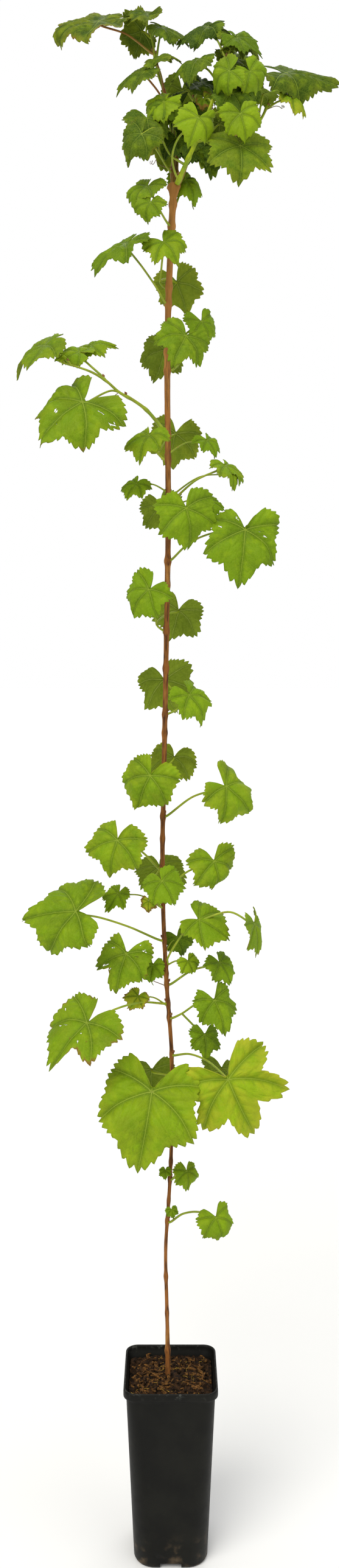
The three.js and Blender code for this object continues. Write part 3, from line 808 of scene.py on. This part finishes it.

# ---- leaves, read from the CAD ----
# Light, yellow and brown go from 0 to 1. Pad, fold and wave are heights. Open widens the gap at the heart.
# A bend is a bearing, where it starts and an angle. A bite is a bearing, a width in degrees and a depth.
# A low light on the leaves high in the head is painted shade; elsewhere light is the leaf's own tone.
LOOKS = {
    "leader_leaf_01": {"light": 0.1, "brown": 0.2, "yellow": 0.25, "red": 1, "lobing": 0.7, "fold": 0.05,
                       "wave": 0.03, "bends": [(18, 0.46, 76), (106, 0.3, -14), (-80, 0.3, -10)]},
    "leader_leaf_02": {"light": 0.1, "bends": [(150, 0.05, -50), (0, 0.4, 20)]},
    "leader_leaf_03": {"light": 0.12},
    "leader_leaf_04": {"light": 0.16, "red": 1},
    "leader_leaf_05": {"light": 0.14, "red": 1},
    "leader_leaf_06": {"light": 0.66},
    "leader_leaf_07": {"light": 0.16, "yellow": 0.1, "brown": 0.12,
                       "bends": [(-20, 0.25, 45), (70, 0.3, 40)]},
    "front_shoot_leaf_01": {"light": 0.66, "lobing": 0.2, "open": 0.9,
                            "bends": [(80, 0.16, 66), (0, 0.6, 20)]},
    "front_shoot_leaf_02": {"light": 0.24, "pad": 0.05, "lobing": 0.4, "bends": [(0, 0.6, 20)]},
    "front_shoot_leaf_03": {"light": 0.68, "lobing": 0.2, "open": 0.7},
    "front_shoot_leaf_04": {"light": 0.16},
    "front_shoot_leaf_05": {"light": 0.42, "bends": [(0, 0.18, 62), (70, 0.4, 20), (-70, 0.4, 20)]},
    "front_shoot_leaf_06": {"light": 0.08},
    "front_shoot_leaf_07": {"light": 0.1},
    "far_shoot_leaf_01": {"light": 0.2},
    "far_shoot_leaf_02": {"light": 0.4},
    "far_shoot_leaf_03": {"light": 0.5, "yellow": 0.6, "brown": 0.35},
    "far_shoot_leaf_04": {"light": 0.12, "fold": 0.03, "wave": 0.03,
                          "bends": [(-62, 0.24, 66), (10, 0.7, -10)]},
    "stem_leaf_03": {"light": 0.62, "yellow": 0.16, "pad": 0.055, "lobing": 0.25, "open": 0.85,
                     "bends": [(0, 0.5, 12), (90, 0.45, 14), (-90, 0.45, 14)]},
    "stem_leaf_04": {"light": 0.72, "yellow": 0.55, "lobing": 1.9, "pad": 0.055, "open": 1.0,
                     "bends": [(-5, 0.6, 10), (75, 0.5, -10), (-70, 0.5, 14)]},
    "stem_leaf_05": {"light": 0.36},
    "stem_leaf_06": {"light": 0.46, "brown": 0.28, "holes": 5, "bites": ((27, 15, 0.3),)},
    "stem_leaf_08": {"light": 0.38, "brown": 0.2, "holes": 9, "bites": ((-32, 13, 0.32), (4, 10, 0.14))},
    "stem_leaf_14": {"light": 0.44, "holes": 4},
    "stem_leaf_09": {"light": 0.44, "brown": 0.15},
    "stem_leaf_10": {"light": 0.44, "bends": [(72, 0.26, 62), (-60, 0.45, 20)]},
    "stem_leaf_18": {"light": 0.34, "yellow": 0.1},
    "stem_leaf_17": {"light": 0.3, "fold": 0.08, "bends": [(0, 0.5, 16), (60, 0.4, 14)]},
    "stem_leaf_19": {"light": 0.5},
    "side_shoot_leaf_01": {"light": 0.4, "yellow": 0.1, "brown": 0.14, "holes": 7},
}


def look_of(name, rng):
    """How a leaf looks: drawn from its name's own numbers, then as LOOKS says."""
    look = {
        "light": rng.uniform(0.32, 0.54), "yellow": rng.uniform(0, 0.2), "brown": rng.uniform(0, 0.08),
        "red": 0, "lobing": rng.uniform(0.0, 0.9), "pad": rng.uniform(0.035, 0.055),
        "fold": rng.uniform(0.0, 0.12), "wave": rng.uniform(0.02, 0.05), "open": rng.uniform(0.1, 0.9),
        "holes": 0, "bites": (),
        "bends": [(rng.uniform(-15, 15), rng.uniform(0.3, 0.5), rng.uniform(0, 45)),
                  (rng.uniform(50, 80), rng.uniform(0.25, 0.4), rng.uniform(-8, 40)),
                  (rng.uniform(-80, -50), rng.uniform(0.25, 0.4), rng.uniform(-8, 40)),
                  (rng.uniform(110, 150), 0.3, rng.uniform(-15, 25)),
                  (rng.uniform(-150, -110), 0.3, rng.uniform(-15, 25))],
    }
    look.update(LOOKS.get(name, {}))
    return look


# Where each blade's upper and under side lie in the leaf's texture space: left, low, width and depth.
ISLANDS = (((0.01, 0.01, 0.48, 0.98), (0.51, 0.01, 0.48, 0.98)),)
TWIN_ISLANDS = tuple(((0.01, low, 0.48, 0.48), (0.51, low, 0.48, 0.48)) for low in (0.01, 0.51))
STALK_RADIUS = 1.25 * MM
HEART_RADIUS = 0.9 * MM
FOOT_RADII = (1.5 * MM, 1.9 * MM)
stalks = Body()
hearts = {}
joints_on = {limb: [] for limb in LIMBS}
for name in LEAVES:
    limb = name.split("_leaf_")[0]
    points, triangles = node_points(name)
    blades = find_blades(points, triangles)
    hearts[name] = [blade["heart"] for blade in blades]
    rng = rng_for(name)
    body = Body()
    look = look_of(name, rng)
    for blade, islands in zip(blades, TWIN_ISLANDS if len(blades) > 1 else ISLANDS):
        add_blade(body, blade, look, rng, islands)
    leaf = body.build(name + "_detail", [UPPER, UNDER], baked=True)
    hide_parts(name)
    limb_points = dense[limb][0]
    for line, whole in stalk_lines(points, triangles, blades, limb_points):
        radii = np.full(len(line), STALK_RADIUS)
        radii[0] = HEART_RADIUS
        if whole:
            last = line[-1]
            near = limb_points[np.argmin(np.linalg.norm(limb_points - last, axis=1))]
            line = line + [near]
            radii = np.append(radii, FOOT_RADII[1])
            radii[-2] = FOOT_RADII[0]
            joints_on[limb].append((near, unit(line[-3] - near)))
        add_tube(stalks, line, radii, kind=1 if look["red"] else 0)
stalk_piece = stalks.build("leaf_stalks", [STALK_GREEN, STALK_RED])


# ---- bark ----
NODE_CLEARANCE = 18 * MM
KNOT_REACH = 13 * MM
KNOT_SWELLING = 1.8
KNOT_GNARL = 3.2


def swellings_on(limb, line, radii):
    """Places of a limb's nodes and how far each swells: one at every leaf's foot, and some between them."""
    rng = rng_for(limb + "_nodes")
    along = np.concatenate([[0], np.cumsum(np.linalg.norm(np.diff(line, axis=0), axis=1))])
    places = [near for near, _ in joints_on[limb]]
    at = rng.uniform(20, 40) * MM
    while at < along[-1]:
        spot = line[np.searchsorted(along, at)]
        if all(np.linalg.norm(spot - place) > NODE_CLEARANCE for place in places):
            places.append(spot)
        at += rng.uniform(30, 80) * MM
    sizes = [radii[np.argmin(np.linalg.norm(line - place, axis=1))] for place in places]
    return [(place, size * rng.uniform(0.2, 0.42)) for place, size in zip(places, sizes)]


def limb_relief(limb, line, radii):
    """Lengthwise ridges, a swelling at each node, and the gnarled knot at the stem's head."""
    woody = limb == "stem"
    nodes = swellings_on(limb, line, radii)

    def relief(ring, line):
        height = np.zeros(ring.shape[:2])
        for k in range(ring.shape[0]):
            knot = math.exp(-(np.linalg.norm(line[k] - STEM_HEAD) / KNOT_REACH) ** 2) if woody else 0
            for i in range(ring.shape[1]):
                r = ring[k, i]
                if woody:
                    ridge = noise.fractal(Vector((r[0] * 2.2, r[1] * 2.2, line[k][2] * 22)), 0.9, 2.1, 4)
                    strand = abs(noise.noise(Vector((r[0] * 6.5, r[1] * 6.5, line[k][2] * 36))))
                    gnarl = noise.fractal(Vector((r * 1.5 + line[k] * 90)), 0.8, 2.2, 4)
                    swelling = knot * (KNOT_SWELLING + KNOT_GNARL * gnarl)
                    height[k, i] = (0.24 * ridge + 0.26 * strand - 0.2 + swelling) * MM
                else:
                    p = Vector((r[0] * 4.0, r[1] * 4.0, line[k][2] * 30 + 7))
                    height[k, i] = 0.12 * MM * noise.noise(p)
        node_reach = (4.5 if woody else 3.5) * MM
        for place, size in nodes:
            gap = np.linalg.norm(line - place, axis=1)
            height += (size * np.exp(-(gap / node_reach) ** 2))[:, None]
        return height
    return relief


SHOOT_LOOKS = {
    "stem": BARK, "leader": SHOOT_RED, "front_shoot": SHOOT_BRIGHT, "far_shoot": BARK_OLIVE,
    "back_shoot": SHOOT_RED, "side_shoot": STALK_GREEN,
}
GREEN_FROM = 0.62  # the share of a shoot's length beyond which its bark is still green
for limb in LIMBS:
    line, radii = dense[limb]
    sides = 26 if limb == "stem" else 12
    body = Body()
    made, faces = sweep(line, radii, sides, limb_relief(limb, line, radii))
    kinds = 0
    if limb in ("leader", "far_shoot", "back_shoot"):
        quads = len(faces[0])
        green = np.arange(quads) / quads > GREEN_FROM
        kinds = np.concatenate([green.astype(int), np.zeros(sides, int), np.ones(sides, int)])
    body.add(made, faces, kinds)
    wood = body.build(limb + "_bark", [SHOOT_LOOKS[limb], STALK_GREEN])
    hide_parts(limb)

# ---- buds in the leaf axils ----
buds = Body()
for limb in LIMBS:
    for place, way in joints_on[limb]:
        rise = unit(way + np.array([0, 0, 0.9]))
        start = place + way * 2.2 * MM + np.array([0, 0, 2.5 * MM])
        line = [start, start + rise * 2 * MM, start + rise * 4.2 * MM]
        add_tube(buds, line, [1.2 * MM, 1.7 * MM, 0.3 * MM], 8, 0.8 * MM)
bud_piece = buds.build("buds", [BUD])

# ---- pot, in millimetres ----
POT_BASE, POT_NECK = 88, 105
POT_WALL = 1.5
POT_BASE_CORNER, POT_NECK_CORNER = 25, 14
POT_SHOULDER, POT_BAND, POT_FLOOR = 3.4, 198, 2.5
CORNER_STEPS = 9
# The rolled rim, from the outside up and over to the inside: how much wider than the neck, and the height.
RIM = ((0, 201.2), (1.2, 202), (5.2, 202.6), (6.6, 203.4), (7, 204.6), (7, 209), (6.7, 210.6), (5.8, 211.7),
       (4.6, 212), (3.2, 211.8), (2, 211), (1.4, 209.6), (0.6, 204.5), (-3, 202))
NOTCH_DEPTH, NOTCH_WIDTH, NOTCH_HEIGHT = 18, 25, 6
BLOCK_FACES = ((0, 2, 3, 1), (4, 5, 7, 6), (0, 1, 5, 4), (2, 6, 7, 3), (0, 4, 6, 2), (1, 3, 7, 5))


def squircle(width, corner, z):
    """A square with round corners, counter-clockwise from above."""
    inner = width / 2 - corner
    ring = []
    for sx, sy, start in ((1, 1, 0), (-1, 1, 90), (-1, -1, 180), (1, -1, 270)):
        for step in range(CORNER_STEPS + 1):
            angle = math.radians(start + 90 * step / CORNER_STEPS)
            point = (sx * inner + corner * math.cos(angle), sy * inner + corner * math.sin(angle), z)
            ring.append(tuple(number * MM for number in point))
    return ring


def loft(rings):
    """The rings' points and the faces between them, closed at both ends."""
    count = len(rings[0])
    points = np.array([p for ring in rings for p in ring])
    k = np.arange(len(rings) - 1)[:, None] * count
    i = np.arange(count)[None]
    j = (i + 1) % count
    quads = np.stack([k + i, k + j, k + count + j, k + count + i], 2).reshape(-1, 4)
    low = np.arange(count)[::-1][None]
    high = (len(rings) - 1) * count + np.arange(count)[None]
    return points, [quads, low, high]


def pot_profile():
    """Rings of the pot's skin: up the outside, over the rolled rim and down the inside."""
    flare = POT_NECK - POT_BASE
    rings = [squircle(POT_BASE - 8, POT_BASE_CORNER - 3, 0),
             squircle(POT_BASE - 2.5, POT_BASE_CORNER - 1, 0.8),
             squircle(POT_BASE, POT_BASE_CORNER, POT_SHOULDER)]
    for t in np.linspace(0, 1, 12)[1:]:
        corner = POT_BASE_CORNER - (POT_BASE_CORNER - POT_NECK_CORNER) * t
        rings.append(squircle(POT_BASE + flare * t, corner, POT_SHOULDER + (POT_BAND - POT_SHOULDER) * t))
    rings += [squircle(POT_NECK + wider, POT_NECK_CORNER + 0.4, z) for wider, z in RIM]
    for t in np.linspace(0, 1, 7)[1:]:
        corner = POT_NECK_CORNER - 1 + (POT_BASE_CORNER - POT_NECK_CORNER) * t
        rings.append(squircle(POT_NECK - 2 * POT_WALL - flare * t, corner, 200 - (200 - POT_FLOOR) * t))
    return rings


body = Body()
points, faces = loft(pot_profile())
body.add(points, faces)
pot = body.build("pot_shell", [POT_PLASTIC])
for x, y in ((1, 0), (-1, 0), (0, 1), (0, -1)):
    notch = bpy.data.meshes.new("notch")
    reach = POT_BASE / 2 + 2 - NOTCH_DEPTH / 2
    size = (NOTCH_DEPTH, NOTCH_WIDTH) if x else (NOTCH_WIDTH, NOTCH_DEPTH)
    corners = [((x * reach + a * size[0] / 2) * MM, (y * reach + b * size[1] / 2) * MM, c * NOTCH_HEIGHT * MM)
               for c in (-1, 1) for b in (-1, 1) for a in (-1, 1)]
    notch.from_pydata(corners, [], BLOCK_FACES)
    cutter = put_in_scene("notch", notch)
    cut = pot.modifiers.new("notch", "BOOLEAN")
    cut.operation = "DIFFERENCE"
    cut.object = cutter
    cut.solver = "EXACT"
    shape = bpy.data.meshes.new_from_object(pot.evaluated_get(bpy.context.evaluated_depsgraph_get()))
    pot.modifiers.remove(cut)
    pot.data = shape
    bpy.data.objects.remove(cutter)
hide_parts("pot")

# ---- compost ----
rng = rng_for("compost")
SOIL_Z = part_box("soil")[1][2]
SOIL_HALF = 50.1 * MM
SOIL_CORNER = 14.5 * MM
SOIL_DEPTH = 8 * MM
SOIL_CELLS = 120
body = Body()
grid = np.linspace(-1, 1, SOIL_CELLS + 1)
gx, gy = np.meshgrid(grid, grid, indexing="xy")


def rounded(x, y):
    """Draws a square grid's outer points in to a square with round corners."""
    core = 1 - SOIL_CORNER / SOIL_HALF
    ox, oy = np.maximum(np.abs(x) - core, 0), np.maximum(np.abs(y) - core, 0)
    length = np.hypot(ox, oy)
    reach = np.maximum(ox, oy)
    scale = np.where(length > 0, reach / np.maximum(length, 1e-9), 1)
    x = np.sign(x) * (np.minimum(np.abs(x), core) + ox * scale)
    y = np.sign(y) * (np.minimum(np.abs(y), core) + oy * scale)
    return x, y


sx, sy = rounded(gx, gy)
sx, sy = sx.ravel() * SOIL_HALF, sy.ravel() * SOIL_HALF
rough = np.array([noise.fractal(Vector((a * 90, b * 90, 3.0)), 0.8, 2.2, 5) for a, b in zip(sx, sy)])
crumb = np.array([noise.noise(Vector((a * 420, b * 420, 9.0))) for a, b in zip(sx, sy)])
away = np.hypot(sx, sy) / SOIL_HALF
height = SOIL_Z - 1.5 * MM - 2.5 * MM * ramp(0.3, 1.0, away) + (4.2 * rough + 1.4 * crumb) * MM
height = np.minimum(height, SOIL_Z)
top = np.stack([sx, sy, height], 1)
side = SOIL_CELLS + 1
k = np.arange(SOIL_CELLS)
i = (k[:, None] * side + k[None]).ravel()
quads = np.stack([i, i + 1, i + side + 1, i + side], 1)
back = SOIL_CELLS - k
edge = np.concatenate([k, k * side + SOIL_CELLS, SOIL_CELLS * side + back, back * side])
deep = top[edge] * (0.7, 0.7, 0) + (0, 0, SOIL_DEPTH)
count = len(top)
n = len(edge)
k = np.arange(n)
walls = np.stack([edge, count + k, count + (k + 1) % n, edge[(k + 1) % n]], 1)
floor_face = (count + np.arange(n))[::-1][None]
body.add(np.vstack([top, deep]), [quads, walls, floor_face])
soil = body.build("compost_bed", [COMPOST])
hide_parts("soil")


# Crumbs, bark chips and fibres: how many, then the ranges of their lengths and widths.
LITTER = ((420, (1.5, 6), (0.9, 2.8)), (260, (3, 12), (0.7, 2.4)), (70, (4, 12), (0.25, 0.6)))
LITTER_HALF = SOIL_HALF * 0.95
STEM_SPACE = 10 * MM
litter = Body()
for kind, (number, lengths, widths) in enumerate(LITTER):
    for _ in range(number):
        x, y = rng.uniform(-44, 44, 2) * MM
        if math.hypot(x, y) < STEM_SPACE:
            continue
        z = height[np.argmin((sx - x) ** 2 + (sy - y) ** 2)]
        heading = rng.uniform(0, 2 * math.pi)
        way = np.array([math.cos(heading), math.sin(heading), rng.uniform(-0.15, 0.35)])
        length, thick = rng.uniform(*lengths) * MM, rng.uniform(*widths) * MM
        bend = np.cross(way, (0, 0, 1)) * rng.uniform(-0.3, 0.3) * length
        start = np.array([x, y, z + rng.uniform(-0.3, 0.7) * MM])
        line = [start, start + way * length * 0.5 + bend, start + way * length]
        line = [np.clip(p, (-LITTER_HALF, -LITTER_HALF, 0), (LITTER_HALF, LITTER_HALF, 0.21)) for p in line]
        add_tube(litter, line, [thick * 0.5, thick, thick * 0.4], 5, length / 6, kind)
chips = litter.build("compost_litter", [COMPOST, CHIP, FIBRE], smooth=False)

# ---- young leaves, twigs and tendrils ----
HEAD_FROM = 1.6
young = {"head": Body(), "low": Body()}
young_stalks = Body()


def limb_at(limb, height):
    """The point of a limb's centre line nearest to a height."""
    line = dense[limb][0]
    return line[np.argmin(np.abs(line[:, 2] - height))]


def toward(bearing, rise):
    """A unit direction from a compass bearing (-90 is the front) and a slope, in degrees."""
    b, r = math.radians(bearing), math.radians(rise)
    return np.array([math.cos(b) * math.cos(r), math.sin(b) * math.cos(r), math.sin(r)])


def add_young_leaf(name, start, bearing, rise, stalk, width, face, tilt, turn, light, yellow=0.0, brown=0.0):
    """A small leaf on its own stalk: stalk length and blade width are in millimetres."""
    rng = rng_for(name)
    heart = start + toward(bearing, rise) * stalk * MM
    up = toward(face, tilt)
    downhill = unit(np.array([0, 0, -1.0]) + up * up[2])
    aside = np.cross(up, downhill)
    tip = math.cos(math.radians(turn)) * downhill + math.sin(math.radians(turn)) * aside
    look = look_of(name, rng)
    look.update({"light": light, "yellow": yellow, "brown": brown, "wave": 0.06, "fold": 0.16})
    reach = 0.74 * width * MM
    blade = {"heart": heart, "up": up, "tip": tip, "reach": reach, "sag": 0.2 / reach}
    add_blade(young["head" if heart[2] > HEAD_FROM else "low"], blade, look, rng, ISLANDS[0])
    middle = (start + heart) / 2 + np.array([0, 0, 0.12 * stalk * MM])
    add_tube(young_stalks, [start, middle, heart - up * 2.5 * MM, heart - up * 0.5 * MM],
             [1.2 * MM, 0.9 * MM, 0.8 * MM, 0.6 * MM])


# Name, limb, height on it in mm, bearing, rise, stalk, width, face, tilt, turn, light, then yellow and brown.
# The low lights of the leaves in the head are painted shade deep in the head.
YOUNG = (
    ("top_dark", "front_shoot", 1792, -20, 60, 24, 46, -70, 40, 60, 0.25),
    ("head_left", "leader", 1730, -100, 5, 45, 38, -100, 30, -20, 0.28),
    ("head_mid", "leader", 1712, -90, 30, 32, 40, -80, 40, 70, 0.25),
    ("head_inner", "front_shoot", 1730, -10, 20, 26, 46, -80, 35, 20, 0.18),
    ("head_low", "front_shoot", 1690, 40, 5, 28, 44, -70, 40, -20, 0.15),
    ("head_core_a", "back_shoot", 1700, -95, 10, 30, 52, -96, 30, 20, 0.05),
    ("head_core_b", "back_shoot", 1722, -60, 25, 34, 56, -70, 36, -30, 0.08),
    ("head_core_c", "leader", 1690, -40, 15, 34, 48, -90, 24, 40, 0.1),
    ("head_core_d", "back_shoot", 1752, -110, 0, 34, 54, -100, 30, -50, 0.04),
    ("head_core_e", "far_shoot", 1704, 80, 20, 28, 60, -70, 30, 10, 0.1, 0, 0.1),
    ("head_core_f", "front_shoot", 1760, 20, 10, 34, 50, -60, 30, -30, 0.14),
    ("head_core_g", "back_shoot", 1780, -70, 20, 26, 50, -80, 46, 60, 0.06),
    ("head_core_h", "leader", 1752, -30, 25, 40, 44, -80, 50, 80, 0.12),
    ("head_dry", "front_shoot", 1730, 120, 35, 22, 22, -100, 20, 40, 0.3, 0.6, 1.0),
    ("side_foot", "stem", 1276, -170, 14, 40, 34, -100, 40, -30, 0.5, 0.1, 0),
    ("right_mid_a", "stem", 1322, -5, 18, 50, 36, -60, 40, 20, 0.45),
    ("right_mid_b", "stem", 1268, -3, 22, 84, 32, -40, 60, 60, 0.45),
    ("right_mid_c", "stem", 1256, -3, 10, 52, 30, -60, 40, 0, 0.45),
    ("left_low_a", "stem", 770, 178, 18, 58, 32, -110, 40, -20, 0.5, 0.1, 0),
    ("dried", "stem", 770, -130, 25, 30, 20, -100, 20, 0, 0.6, 1.0, 1.0),
    ("low_mid", "stem", 690, -140, 35, 26, 30, -90, 30, -10, 0.5, 0, 0.1),
    ("low_inner", "stem", 716, 40, 40, 26, 34, -80, 35, 20, 0.25),
    ("low_bright", "stem", 700, -20, 15, 30, 26, -70, 30, 20, 0.75),
    ("low_yellow", "stem", 652, -160, 22, 42, 26, -100, 35, -30, 0.7, 0.9, 0.5),
    ("foot_a", "stem", 448, -130, 40, 12, 14, -90, 40, 0, 0.6),
    ("foot_b", "stem", 400, -60, 40, 12, 14, -80, 40, 10, 0.6),
)
for name, limb, at, *rest in YOUNG:
    add_young_leaf(name, limb_at(limb, at * MM), *rest)

# each growing tip carries three unfolding leaves
for limb in LIMBS[1:]:
    line = dense[limb][0]
    end = line[-1]
    way = unit(line[-1] - line[-4])
    bearing = math.degrees(math.atan2(way[1], way[0]))
    for k, (aside, width) in enumerate(((70, 15), (-80, 11), (10, 8))):
        add_young_leaf(limb + str(k), end - way * 2 * MM * k, bearing + aside, 40, 6 + 2 * k, width,
                       bearing + aside, 40, 180, 0.85)
for part, body in young.items():
    small = body.build("young_leaves_" + part, [UPPER, UNDER])
# a bright stalk crosses the head from the front shoot to the drooping pair on its left
start, end = limb_at("front_shoot", 1.668), hearts["leader_leaf_07"][-1]
add_tube(young_stalks, [start, start + toward(170, 38) * 24 * MM, end + (16 * MM, 12 * MM, 12 * MM), end],
         [1.7 * MM, 1.4 * MM, 1.2 * MM, 1.0 * MM])
small_stalks = young_stalks.build("young_stalks", [STALK_GREEN, STALK_RED])

TENDRIL_STEPS = 26
TENDRIL_RADIUS = 0.55 * MM
tendrils = Body()


def add_tendril(start, bearing, rise, length, curl, turns):
    """A tendril: a thin strand that runs straight, then winds up in a loose coil."""
    way = toward(bearing, rise)
    x, y = square_to(way)
    line, place = [], start.copy()
    for t in np.linspace(0, 1, TENDRIL_STEPS):
        wind = 4 * math.pi * turns * max(0, t - 0.35) ** 1.5
        coil = math.cos(wind) * x + math.sin(wind) * y
        step = way * (1 - 0.75 * ramp(0.3, 0.6, t)) + curl * ramp(0.2, 0.5, t) * coil
        place = place + unit(step + np.array([0, 0, -0.2 * t])) * length * MM / TENDRIL_STEPS
        line.append(place)
    add_tube(tendrils, line, np.linspace(1, 0.4, TENDRIL_STEPS) * TENDRIL_RADIUS, 5, 1.6 * MM)


# Limb, height on it, bearing, rise, length in mm, how far it curls, and turns.
TENDRILS = (
    ("leader", 1.672, 170, 25, 60, 1.0, 2.2), ("leader", 1.726, -150, 35, 50, 1.2, 2.6),
    ("side_shoot", 1.392, 160, -30, 60, 1.0, 2.0), ("far_shoot", 1.748, -10, 20, 45, 1.2, 2.4),
    ("stem", 0.905, 100, 30, 70, 1.1, 2.4), ("stem", 1.225, 20, 30, 64, 1.1, 2.4),
    ("leader", 1.79, 150, 30, 45, 1.0, 2.2), ("stem", 0.676, 170, 20, 60, 1.0, 2.2),
)
for limb, at, *rest in TENDRILS:
    add_tendril(limb_at(limb, at), *rest)
tendril_piece = tendrils.build("tendrils", [TENDRIL])

# ---- stage, lights and camera ----
scene = bpy.context.scene
FLOOR_HALF = 200.0
FLOOR_PAINT = (0.9, 0.9, 0.89)
corners = [(x * FLOOR_HALF, y * FLOOR_HALF, 0) for x, y in ((-1, -1), (1, -1), (1, 1), (-1, 1))]
ground = bpy.data.meshes.new("floor")
ground.from_pydata(corners, [], [(0, 1, 2, 3)])
shade = Shade("floor_paint", 0.9, 0.2)
shade.colour(shade.mix(shade.noise(3, 2), FLOOR_PAINT, tuple(c * 0.985 for c in FLOOR_PAINT)))
ground.materials.append(shade.material)
put_in_scene("floor", ground)

# the room is a soft grey to the plant, and plain white to the camera
world = bpy.data.worlds.new("studio")
scene.world = world
world.use_nodes = True
tree = world.node_tree
tree.nodes["Background"].inputs[0].default_value = (1, 1, 1, 1)
paths = tree.nodes.new("ShaderNodeLightPath")
strength = tree.nodes.new("ShaderNodeMapRange")
strength.inputs["To Min"].default_value = 0.5
strength.inputs["To Max"].default_value = 1.0
tree.links.new(paths.outputs["Is Camera Ray"], strength.inputs["Value"])
tree.links.new(strength.outputs[0], tree.nodes["Background"].inputs[1])


def soft_sun(name, place, power, spread, colour=(1, 1, 1)):
    """Even light that comes from the direction of place, spread over an angle in degrees."""
    data = bpy.data.lights.new(name, "SUN")
    data.energy = power
    data.angle = math.radians(spread)
    data.color = colour
    put_in_scene(name, data).rotation_euler = (-Vector(place)).to_track_quat("-Z", "Y").to_euler()


soft_sun("key", (-0.7, -1.3, 1.7), 2.0, 40, (1, 0.98, 0.93))
soft_sun("fill", (1.4, -1.2, 0.8), 0.6, 60)
soft_sun("back", (0.4, 1.6, 1.5), 0.7, 50)

# The camera looks level at the plant. Focal length, centre and horizon are in pixels of the picture.
PICTURE_WIDTH, PICTURE_HEIGHT = 557, 2576
FOCAL = 2050
CENTRE_X, HORIZON = 280.5, 1121
SENSOR = 36
camera_data = bpy.data.cameras.new("camera")
camera = put_in_scene("camera", camera_data)
camera_data.sensor_width = SENSOR
camera_data.lens = SENSOR * FOCAL / PICTURE_HEIGHT
camera_data.shift_x = (PICTURE_WIDTH / 2 - CENTRE_X) / PICTURE_HEIGHT
camera_data.shift_y = (HORIZON - PICTURE_HEIGHT / 2) / PICTURE_HEIGHT
camera_data.clip_start = 0.05
camera_data.clip_end = 500
camera.location = (0, -1.515, 1.045)
camera.rotation_euler = (math.pi / 2, 0, 0)
scene.camera = camera
scene.view_settings.view_transform = "Standard"
